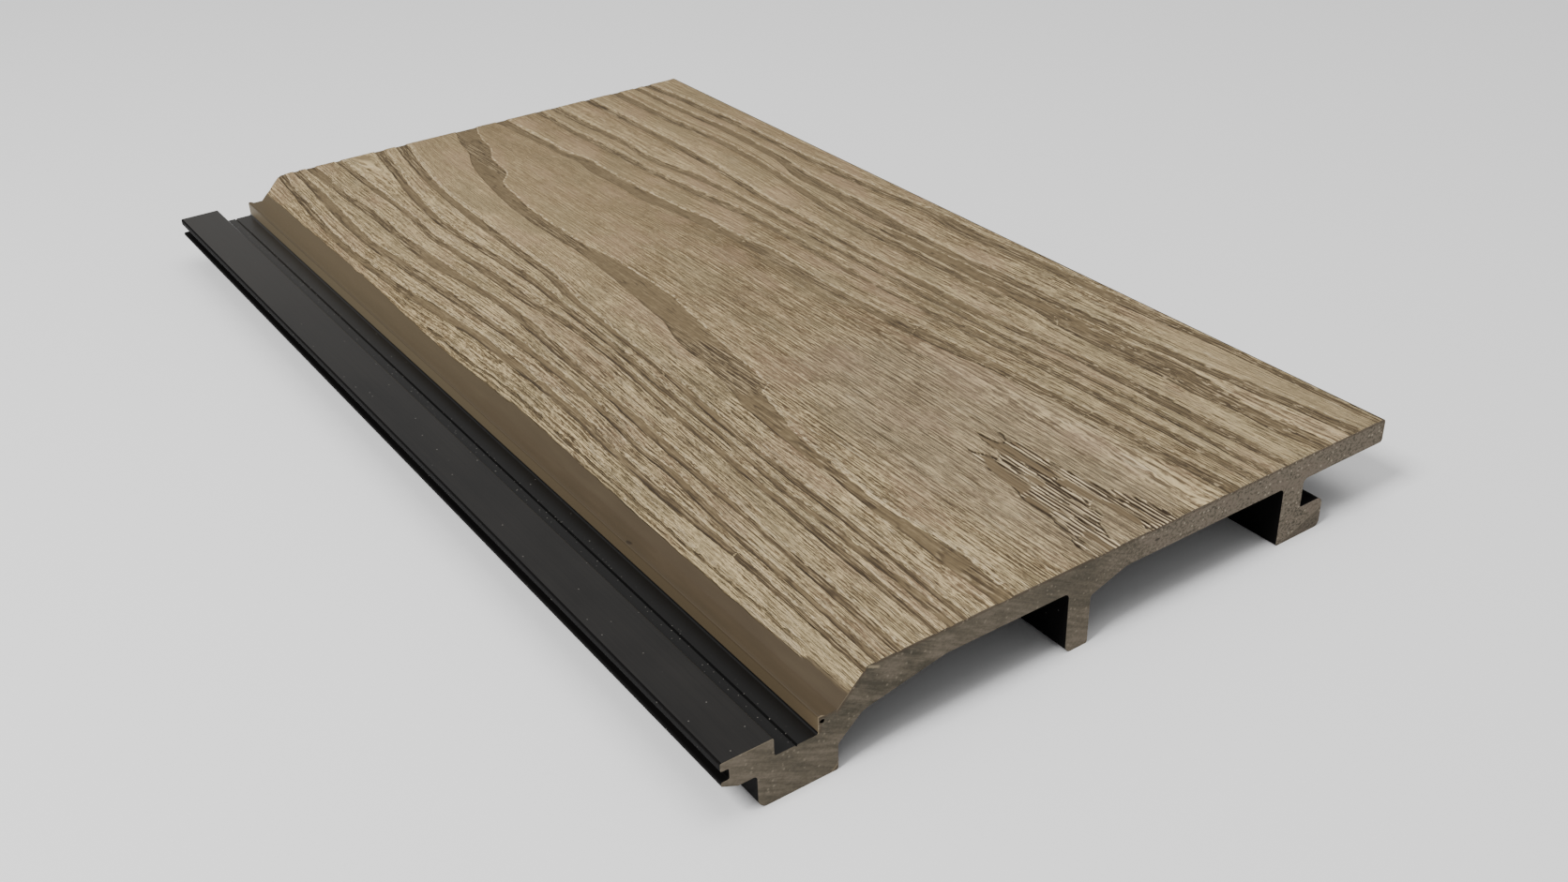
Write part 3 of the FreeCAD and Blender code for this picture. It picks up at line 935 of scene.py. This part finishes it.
def close_end(shape, ring, far, mouth=()):
    """Fills one end of the tube with triangles, round the mouth of the pit where there is one."""
    corners = ring + list(mouth)
    spots = [Vector((corner.co.x, corner.co.z)) / MM for corner in corners]
    edges = [(step, (step + 1) % len(ring)) for step in range(len(ring))]
    edges += [(len(ring) + step, len(ring) + (step + 1) % len(mouth)) for step in range(len(mouth))]
    filled = delaunay_2d_cdt(spots, edges, [], 1, 1e-7)
    count = 0
    for triangle in filled[2]:
        picked = [filled[3][index][0] for index in triangle]
        if min(picked) < len(ring):
            face = shape.faces.new([corners[index] for index in (reversed(picked) if far else picked)])
            face.material_index = core_skin
            face.smooth = False
            count += 1
    return count


pressed_mesh.materials.append(core)
shape = bmesh.new()
shape.from_mesh(pressed_mesh)
shape.verts.ensure_lookup_table()
near_ring = [shape.verts[index] for index in near_row + near_plain]
far_ring = [shape.verts[index] for index in far_row + far_plain]
near_faces = close_end(shape, near_ring, False, sink_pit(shape))
far_faces = close_end(shape, far_ring, True)
shape.normal_update()
open_edges = sum(1 for edge in shape.edges if not edge.is_manifold)
volume = shape.calc_volume(signed=True)
print("end faces:", near_faces, far_faces, "open edges:", open_edges)
print("volume litres:", round(volume * 1000, 4))
shape.to_mesh(pressed_mesh)
shape.free()
pressed_mesh.set_sharp_from_angle(angle=math.radians(sharp_from))
triangles = sum(len(polygon.vertices) - 2 for polygon in pressed_mesh.polygons)
print("triangles in the board:", triangles)

# %% [markdown]
# The brushed cap. One finish covers the whole cap, and the marks tell it what was done where. The raised
# fibres are tan and dull. The brush leaves fine lines in them about a millimetre apart, some regular like
# the teeth of a comb, so a slightly bent sine joins the stretched noises. The ribbons keep the olive
# brown of the untouched skin. Image textures could show this too, but noise stretched along the length
# gives fibres at any distance, and it follows the bent fibre mark.

# %% Finish of the cap
def start_finish(material):
    """Clears a material and returns a wire, its shader, and its place in mm: across, along and up."""
    material.use_nodes = True
    tree = material.node_tree
    tree.nodes.clear()
    start = Wire(tree)
    shader = tree.nodes.new("ShaderNodeBsdfPrincipled")
    output = tree.nodes.new("ShaderNodeOutputMaterial")
    tree.links.new(shader.outputs["BSDF"], output.inputs["Surface"])
    where = start.node("ShaderNodeTexCoord", {}, {}, "Object")
    x, y, z = (start.node("ShaderNodeSeparateXYZ", {}, {0: where}, axis) for axis in "XYZ")
    return start, shader, (x * (1 / MM) - board_left / MM, y * (1 / MM) - near_end / MM, z * (1 / MM))


def finish_with(shader, start, sockets, height=None, depth_mm=0.0):
    """Links colour, roughness and the like, and a bump of so many millimetres."""
    for name, value in sockets.items():
        if isinstance(value, Wire):
            start.tree.links.new(value.socket, shader.inputs[name])
        else:
            shader.inputs[name].default_value = value
    if height is not None:
        depths = {"Strength": 1.0, "Distance": depth_mm * MM, "Height": height}
        bump = start.node("ShaderNodeBump", {}, depths)
        start.tree.links.new(bump.socket, shader.inputs["Normal"])


def cap_finish(material):
    """Brushed tan fibres, olive ribbons, the torn patch and the smooth skin down the bevel."""
    start, shader, (across_mm, along_mm, up_mm) = start_finish(material)

    def mark(name):
        return start.node("ShaderNodeAttribute", {"attribute_name": name}, {}, "Fac")

    def streaks(width, length, seed, detail=1.0):
        """Noise stretched along the bent fibres; width and length are its wave in mm."""
        return noise(mark("across") / width, along_mm / length, seed, detail)

    def threads(width, length, seed, thickness):
        """Thin lines that run along the board, where a stretched noise crosses its middle."""
        line = streaks(width, length, seed).near(0.5, 0.0, thickness)
        return line * streaks(width * 2.5, length * 0.5, seed + 1.0).between(0.44, 0.58)

    def spot(across, along, half_width, half_length):
        return oval(across_mm, along_mm, (across, along), (half_width, half_length), 1.2)

    def shades(dark, middle, pale, amount):
        stops = [(0.0, rgb(*dark)), (0.5, rgb(*middle)), (1.0, rgb(*pale))]
        return start.node("ShaderNodeValToRGB", {"stops": stops}, {"Fac": amount})

    # Fine lines of several widths and lengths
    hair = streaks(0.32, 7.0, 1.0).between(0.44, 0.56)
    fibre = streaks(0.48, 30.0, 3.0).between(0.43, 0.57)
    strand = streaks(0.90, 48.0, 5.0).between(0.36, 0.64)
    band = streaks(3.0, 90.0, 7.0).between(0.35, 0.65)
    grain = streaks(0.34, 1.6, 85.0).between(0.35, 0.65)
    dash = streaks(0.36, 4.5, 81.0).between(0.56, 0.62)
    nick = streaks(0.36, 3.6, 83.0).between(0.58, 0.64)
    crack = threads(0.9, 34.0, 9.0, 0.030)
    glint = threads(0.6, 20.0, 14.0, 0.030)
    comb_bend = 4.0 * streaks(3.0, 30.0, 65.0) + 2.5 * streaks(0.9, 14.0, 67.0)
    comb = 0.5 + 0.5 * (mark("across") * 6.5 + comb_bend).sine()
    warm = noise(across_mm * 0.09, along_mm * 0.035, 2.0)
    mottle = noise(across_mm * 0.8, along_mm * 0.5, 4.0, detail=3.0)
    worn = noise(mark("across") * 0.14, along_mm * 0.018, 12.0, detail=1.0).between(0.42, 0.55)

    # The lines are keenest at the near end, and on the left they keep so for longer
    left_side = across_mm.fading(55.0, 75.0)
    keen = 1.45 - 0.60 * along_mm.between(85.0, 130.0) - 0.42 * along_mm.between(130.0, 235.0)
    keen_left = 1.5 + 0.35 * along_mm.between(40.0, 90.0) - 0.75 * along_mm.between(110.0, 230.0)
    keen = keen + left_side * (keen_left - keen)

    # Where the skin was pressed, torn or brushed, with ragged edges
    ragged = 1.1 * (noise(mark("across") * 1.6, along_mm * 0.26, 95.0) - 0.5)
    vein_part = (mark("vein") + ragged * mark("vein").between(0.0, 0.05)).between(0.36, 0.60)
    torn_part = (mark("torn") + 0.35 * (streaks(0.7, 5.0, 21.0) - 0.5)).between(-0.06, 0.06)
    torn_line = 0.5 + 0.85 * (comb - 0.5) + 0.70 * (streaks(0.5, 12.0, 61.0, detail=0.0) - 0.5)
    torn_wild = torn_part * (1.0 - mark("flat"))
    pressed = vein_part.most(torn_part)
    soft_end = along_mm.fading(9.0, 17.0)
    brushed = mark("bare") + 0.8 * (streaks(0.5, 9.0, 31.0) - 0.5) + 0.15 + 1.3 * soft_end
    brushed = (brushed / (0.4 + 1.9 * soft_end)).between(0.0, 1.0)
    groove = mark("groove").between(0.18, 0.7)
    ridge = mark("ridge").between(0.30, 0.8)

    # The raised fibres
    calm = spot(169.0, 28.0, 5.0, 45.0)
    fine = 0.42 * hair + 0.44 * fibre + 0.32 * comb + 0.34 * grain - 0.83
    fine = fine + 0.26 * (dash - 0.2) - 0.12 * (nick - 0.15)
    light = 0.5 + 0.05 * (band - 0.5) + fine * keen * (1.0 - 0.7 * calm)
    # The slow tone, with the painted crown highlight in it
    light = light + 0.3 * mark("tone") * (1.0 - torn_part)
    bead = mottle.between(0.45, 0.60)
    chip = noise(mark("across") * 2.2, along_mm * 0.5, 91.0, detail=1.0)
    # A painted highlight along the ribbons' right edges, broken into chips and beads
    rim = mark("rim").between(0.1, 0.8) * (0.8 * chip.between(0.50, 0.57)).most(0.4 * bead * fibre)
    raised = shades((90, 74, 50), (138, 119, 89), (193, 172, 130), light).under(
        ((156, 130, 103), warm.between(0.50, 0.66) * 0.4),
        ((128, 115, 86), warm.fading(0.34, 0.50) * 0.4),
        ((152, 136, 114), spot(100.0, 45.0, 26.0, 65.0) * 0.3),
        ((152, 130, 90), along_mm.between(120.0, 220.0) * 0.12),
        ((72, 57, 37), (crack * keen * 0.45).least(0.7)),
        ((160, 140, 106), calm * 0.4),
        # Pale fibre threads, and the painted highlight rim
        ((196, 178, 143), (glint * keen * 0.55).most(rim)),
    )

    # The ribbons, smooth in parts and worn or scored in others, with painted shadow at the left wall's foot
    inner = 0.35 * hair + 0.45 * streaks(0.36, 16.0, 43.0).between(0.40, 0.60) + 0.20 * grain
    rough_tip = spot(73.0, 110.0, 6.0, 20.0)
    smooth_stretch = spot(79.0, 162.0, 7.0, 34.0)
    torn_bits = streaks(4.0, 9.0, 93.0).between(0.46, 0.54) * along_mm.fading(60.0, 110.0)
    worn = worn.most(rough_tip).most(torn_bits) * (1.0 - smooth_stretch)
    smooth_inner = 0.5 + 0.35 * (mottle - 0.5)
    inner = smooth_inner + (0.25 + 0.75 * worn + 0.5 * rough_tip) * (inner - smooth_inner)
    scored = torn_line.fading(0.34, 0.44) * (1.0 - 0.5 * along_mm.between(50.0, 110.0))
    near_right = across_mm.between(110.0, 122.0) * along_mm.fading(40.0, 90.0)
    # Painted shadow along the foot of each ribbon's left wall, in broken stretches
    foot_shadow = mark("shade").between(0.12, 0.60) * streaks(1.0, 14.0, 41.0).between(0.38, 0.55)
    flake = noise(mark("across") * 1.8, along_mm * 0.36, 97.0).between(0.58, 0.63)
    ribbon = shades((60, 48, 32), (104, 89, 64), (158, 140, 108), inner).under(
        ((58, 45, 29), scored * (0.25 + 0.55 * worn).most(0.8 * near_right) * 0.8),
        ((44, 34, 21), foot_shadow * keen * 0.5),
        ((56, 44, 28), threads(1.5, 20.0, 51.0, 0.04) * 0.7),
        ((180, 162, 128), flake * torn_bits * across_mm.between(100.0, 120.0) * 0.6),
    )

    # The torn patch, with its flat floors
    torn_streak = streaks(0.9, 14.0, 23.0).between(0.38, 0.62)
    torn_floor = shades((102, 85, 61), (130, 112, 85), (158, 140, 109), torn_streak).under(
        ((44, 33, 20), torn_line.fading(0.25, 0.33) * 0.95),
        ((206, 188, 153), torn_line.between(0.66, 0.76) * 0.8),
        ((99, 84, 61), mark("flat") * 0.92),
    )
    colour = raised.towards(ribbon, vein_part).towards(torn_floor, torn_part).under(
        ((182, 164, 131), ridge * (0.45 + 0.4 * hair)),
        # Painted shade in the grooves of torn fibre, where the light can't reach in
        ((48, 37, 23), groove * 0.8),
    )

    # The smooth skin below the brushed zone, down to the wall beside the channel, with painted sheen and
    # shade
    wall_side = wall_foot[0] + 0.15
    # Painted sheen: the smooth skin grows paler towards the far end
    far = along_mm.between(40.0, 290.0)
    wall_part = across_mm.fading(wall_side - 0.1, wall_side)
    # Painted shade along the rounded top edge of the nose wall
    nose_edge_shade = across_mm.near(wall_side, 0.1, 0.4) * up_mm.between(14.2, 14.4)
    clouds = noise(across_mm * 0.5, along_mm * 0.06, up_mm * 0.5, detail=3.0)
    smooth_skin = shades((62, 52, 37), (69, 58, 42), (78, 67, 50), clouds).under(
        ((86, 75, 55), far * 0.8),
        ((94, 81, 61), wall_part),
        # Painted sheen on the wall too, growing towards the far end
        ((117, 105, 83), wall_part * along_mm.between(10.0, 240.0) * 0.95),
        ((56, 47, 33), nose_edge_shade * 0.6),
        ((38, 30, 20), spot(21.6, 68.0, 0.6, 1.0) * 0.8),
    )
    colour = smooth_skin.towards(colour, brushed)

    rough = 0.55 + brushed * (0.27 - 0.12 * pressed)
    relief = 0.7 * hair + 0.8 * fibre + 0.5 * comb + 0.2 * strand + 0.5 * grain + 0.5 * glint - 0.9 * crack
    height = brushed * (1.0 - pressed) * relief * keen - 1.2 * pressed * brushed
    height = height + pressed * worn * 0.7 * inner + torn_wild * 1.1 * torn_line.between(0.30, 0.66)
    height = height + 0.8 * ridge - 1.0 * groove + 0.05 * mottle
    finish_with(shader, start, {
        "Base Color": colour, "Roughness": rough, "Specular IOR Level": 0.3,
    }, height, 0.20)


cap_finish(cap)
print("cap nodes:", len(cap.node_tree.nodes))

# %% [markdown]
# The black skin. The lip, the channel and the back are the same black, smooth from the die, and they
# catch dust. A Voronoi texture cuts space into cells with one point each; a small ball round the point
# of some of the cells makes a speck. The specks are thickest along the scribed line, where drill dust
# would lie.

# %% Finish of the black skin
def specks(place, size, share, seed):
    """Small round dots, in a share of the cells of a grid whose cells are one unit wide."""
    shifted = place.node("ShaderNodeVectorMath", {"operation": "ADD"}, {0: place, 1: (seed, seed, seed)})
    cells = {"Vector": shifted, "Scale": 1.0, "Randomness": 1.0}
    distance = place.node("ShaderNodeTexVoronoi", {}, cells, "Distance")
    chance = place.node("ShaderNodeTexVoronoi", {}, cells, "Color")
    chance = place.node("ShaderNodeSeparateColor", {}, {0: chance}, "Red")
    here = (chance + share - 1.0).between(0.0, 0.02)
    return here * (distance / size).fading(0.5, 1.0)


def black_finish(material, dark, pale, dull=0.0):
    """Black plastic, between two blacks; dull goes from 0 for a soft shine and a painted sheen at the far
    end, to 1 for neither.
    """
    start, shader, (across_mm, along_mm, up_mm) = start_finish(material)
    place = vector(across_mm, along_mm, up_mm)
    halved = start.node("ShaderNodeVectorMath", {"operation": "SCALE"}, {0: place, "Scale": 0.55})
    beside_scribe = across_mm.near(15.4, 0.4, 2.4)
    dust = specks(halved, 0.11, 0.22, 3.0) + specks(place, 0.16, 0.75, 11.0) * beside_scribe
    die_line = noise(across_mm * 2.5, along_mm * 0.02, up_mm * 2.5, detail=3.0)
    cloud = noise(across_mm * 0.12, along_mm * 0.05, up_mm * 0.12, detail=3.0)
    in_scribe = across_mm.near(16.05, 0.15, 0.35)
    in_scribe = in_scribe * up_mm.between(10.0, 10.1) * up_mm.fading(10.7, 10.8)
    # The channel between the lip and the nose is painted darker as shade
    channel_shade = across_mm.between(11.3, 11.4) * across_mm.fading(20.9, 21.0)
    colour = start.node("ShaderNodeValToRGB", {"stops": [(0.3, rgb(*dark)), (0.7, rgb(*pale))]}, {
        "Fac": 0.5 * die_line + 0.5 * cloud,
    }).under(
        ((6, 5, 5), in_scribe * 0.9),
        ((8, 8, 8), channel_shade * 0.8),
        # Painted sheen: the shiny black grows paler towards the far end
        ((58, 55, 50), along_mm.between(140.0, 300.0) * (1.0 - dull) * 0.35),
        ((122, 118, 112), dust.least(1.0) * 0.6),
    )
    rough = 0.28 + 0.3 * dull + 0.10 * cloud
    finish_with(shader, start, {
        "Base Color": colour, "Roughness": rough, "Specular IOR Level": 0.38 - 0.33 * dull,
    }, die_line, 0.004)


black_finish(black_skin, (21, 20, 19), (32, 30, 28))
black_finish(black_back, (10, 9, 9), (15, 14, 13), dull=1.0)
print("black skin nodes:", len(black_skin.node_tree.nodes))

# %% [markdown]
# The sawn core is wood flour in plastic. The saw leaves slanting streaks on it, and pale flecks of wood
# and small pits show. A thin darker line runs inside the cap, as deep as the cap is thick. How deep a
# point lies under the cap is found as a roof is drawn: it is the least of its distances from the sides.

# %% Finish of the sawn core
def core_finish(material):
    """The sawn end, with the cut edge of the cap round it."""
    start, shader, (across_mm, along_mm, up_mm) = start_finish(material)

    def spot(across, up, half_width, half_height):
        return oval(across_mm, up_mm, (across, up), (half_width, half_height), 1.3)

    # Depth under the cap, for the face plate and for the nose
    outside = 9.0
    nose_top, nose_bottom = 14.45, 10.6
    past_foot = across_mm - bevel_foot[0]
    over_foot = up_mm - bevel_foot[1]
    plate = (crown_corner[1] - up_mm).least((past_foot - over_foot) * slope).least(board_width - across_mm)
    beside = past_foot.between(-0.05, 0.05).most(over_foot.between(-0.05, 0.05))
    plate = plate + outside * (beside - 1.0)
    nose = (across_mm - wall_foot[0]).least(nose_top - up_mm)
    nose = nose + outside * (up_mm.between(nose_bottom, nose_bottom + 0.1) - 1.0)
    nose = nose - outside * across_mm.between(bevel_foot[0] - 0.1, bevel_foot[0] + 0.3)
    cap_depth = plate.most(nose)

    # The saw's streaks slant, and the right of the end is rougher and paler
    saw_cos, saw_sin = 0.47, 0.88
    slant = across_mm * saw_cos + up_mm * saw_sin
    crosswise = up_mm * saw_cos - across_mm * saw_sin
    right = across_mm.between(80.0, 128.0)
    saw = noise(slant * 1.25, crosswise * 0.13, along_mm * 0.1, detail=3.0, roughness=0.6)
    smear = noise(slant * 0.35, crosswise * 0.10, 3.0, detail=3.0, roughness=0.6)
    grit = noise(across_mm * 1.2, up_mm * 1.5, along_mm, detail=4.0, roughness=0.7)
    place = vector(across_mm * 0.9, up_mm * 0.9, along_mm * 0.9)
    flecks = specks(place, 0.32, 0.36, 5.0) * (0.35 + 0.65 * right)
    pits = specks(place, 0.27, 0.20, 17.0) * (0.3 + 0.7 * right)
    arch_side = across_mm.between(24.0, 34.0) * across_mm.fading(44.0, 56.0)
    texture = 0.5 + (0.48 - 0.28 * right) * (saw.between(0.36, 0.64) - 0.5)
    texture = texture + (0.5 + 0.6 * arch_side) * (smear.between(0.36, 0.64) - 0.5)
    texture = texture + (0.3 + 1.8 * right) * (grit.between(0.40, 0.60) - 0.5)
    lip_side = across_mm.fading(4.0, 20.0)
    bend = across_mm.between(18.0, 26.0) * across_mm.fading(36.0, 60.0)
    foot_side = up_mm.fading(5.0, 11.0) * (across_mm.between(14.0, 22.0) - across_mm.between(93.0, 96.0))
    amount = 0.24 + 0.36 * texture + 0.14 * lip_side - 0.03 * bend + 0.14 * foot_side + 0.36 * right
    amount = amount + 0.11 * across_mm.between(44.0, 52.0) * across_mm.fading(70.0, 78.0)
    amount = amount - 0.10 * spot(151.0, 4.0, 9.0, 5.0)

    # A facet under the hook, where the saw came out, painted as shade with a painted highlight at its edge
    facet = 0.8 + (across_mm - 146.5) * 0.396 - up_mm
    facet_shade = across_mm.between(145.0, 146.0) * facet.between(-0.05, 0.1)
    facet_edge_highlight = across_mm.between(146.0, 147.0) * abs(facet).fading(0.05, 0.3)
    line = cap_depth.near(0.5, 0.15, 0.4)
    outer = cap_depth.between(-0.3, -0.1) * cap_depth.fading(0.1, 0.25)
    # Painted highlights along the lip's top edge and on a burr at the crown
    lip_edge_highlight = up_mm.near(14.62, 0.08, 0.25) * across_mm.fading(11.0, 11.2)
    burr_right, burr_over = across_mm - 32.2, up_mm - 20.5
    burr_cos, burr_sin = 0.907, 0.42
    burr_run = burr_right * burr_cos - burr_over * burr_sin
    burr_off = abs(burr_right * burr_sin + burr_over * burr_cos)
    burr_highlight = burr_run.between(-0.5, 0.2) * burr_run.fading(2.2, 3.2) * burr_off.fading(0.1, 0.45)

    colour = start.node("ShaderNodeValToRGB", {"stops": [
        (0.2, rgb(64, 59, 47)), (0.5, rgb(89, 81, 67)), (0.8, rgb(112, 102, 88)),
    ]}, {"Fac": amount}).under(
        ((110, 96, 84), right * smear.between(0.45, 0.65) * 0.35),
        ((74, 66, 54), facet_shade * 0.6),
        ((120, 110, 94), facet_edge_highlight * 0.5),
        ((74, 60, 45), line * 0.55),
        ((132, 117, 92), outer * (0.5 + 0.5 * nose.between(-0.3, -0.1))),
        ((124, 113, 94), lip_edge_highlight * 0.6),
        ((150, 137, 112), burr_highlight * 0.7),
        ((156, 145, 126), (flecks * 0.75).most(spot(101.0, 20.1, 0.5, 0.3) * 0.8)),
        ((44, 37, 29), (pits * 0.7).most(spot(105.3, 17.8, 0.75, 0.35) * 0.8)),
    )
    height = 0.4 * saw + 0.5 * grit - pits
    finish_with(shader, start, {
        "Base Color": colour, "Roughness": 0.82, "Specular IOR Level": 0.3,
    }, height, 0.10)


core_finish(core)
print("core nodes:", len(core.node_tree.nodes))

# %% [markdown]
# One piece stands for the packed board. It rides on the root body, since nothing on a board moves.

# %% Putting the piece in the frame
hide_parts("cladding_panel")
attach(board, "root")
print("piece:", board.name)

# %% [markdown]
# The studio. A plain pale floor, a soft box high on the left, a broader and weaker one overhead, and a
# pale world for the rest. The light on the left matters most: it shades each ribbon's left edge and lights
# its right rim, and the cap's finish paints a shadow and a highlight there as well.

# %% Floor, lights and world
scene = bpy.context.scene
half_floor = 6.0
pale_grey = (0.91, 0.91, 0.91, 1.0)
white = (1.0, 1.0, 1.0, 1.0)
corners = [(half_floor * x, half_floor * y, 0) for x, y in ((-1, -1), (1, -1), (1, 1), (-1, 1))]
floor_mesh = bpy.data.meshes.new("floor")
floor_mesh.from_pydata(corners, [], [(0, 1, 2, 3)])
floor = bpy.data.objects.new("floor", floor_mesh)
scene.collection.objects.link(floor)
floor_paint = bpy.data.materials.new("pale_floor")
start, shader, place = start_finish(floor_paint)
finish_with(shader, start, {"Base Color": pale_grey, "Roughness": 0.9})
floor_mesh.materials.append(floor_paint)

board_centre = Vector((0, 0, 0.012))


def soft_light(name, place, size, power):
    """A square soft box that faces the board."""
    lamp = bpy.data.lights.new(name, "AREA")
    lamp.shape = "SQUARE"
    lamp.size = size
    lamp.energy = power
    holder = bpy.data.objects.new(name, lamp)
    holder.location = place
    holder.rotation_euler = (board_centre - Vector(place)).to_track_quat("-Z", "Y").to_euler()
    scene.collection.objects.link(holder)
    return holder


soft_light("key_light", (-0.78, -0.20, 1.01), 0.35, 16.6)
soft_light("top_light", (0.1, -0.2, 1.3), 0.9, 7.5)
world = bpy.data.worlds.new("pale_world")
world.use_nodes = True
background = world.node_tree.nodes["Background"]
background.inputs["Color"].default_value = white
background.inputs["Strength"].default_value = 0.43
scene.world = world
print("lights:", [item.name for item in bpy.data.lights])

# %% [markdown]
# The camera stands where the photographer stood, with a lens of about 38 mm. Its three directions were
# found from the board's edges in the photograph, so they are given as they are: right, up and forward,
# each of length one and square to the other two.

# %% Camera
lens = bpy.data.cameras.new("camera")
lens.sensor_width = 36.0
lens.lens = 37.57
lens.clip_start = 0.01
camera = bpy.data.objects.new("camera", lens)
camera_place = (-0.1956, -0.3338, 0.2068)
camera_right = Vector((0.8206, -0.5707, -0.0288))
camera_up = Vector((0.3144, 0.4088, 0.8567))
camera_forward = Vector((0.4772, 0.7121, -0.5149))
turn = Matrix((camera_right, camera_up, -camera_forward)).transposed().to_4x4()
camera.matrix_world = Matrix.Translation(camera_place) @ turn
scene.collection.objects.link(camera)
scene.camera = camera
print("camera at:", tuple(round(value, 4) for value in camera.location))
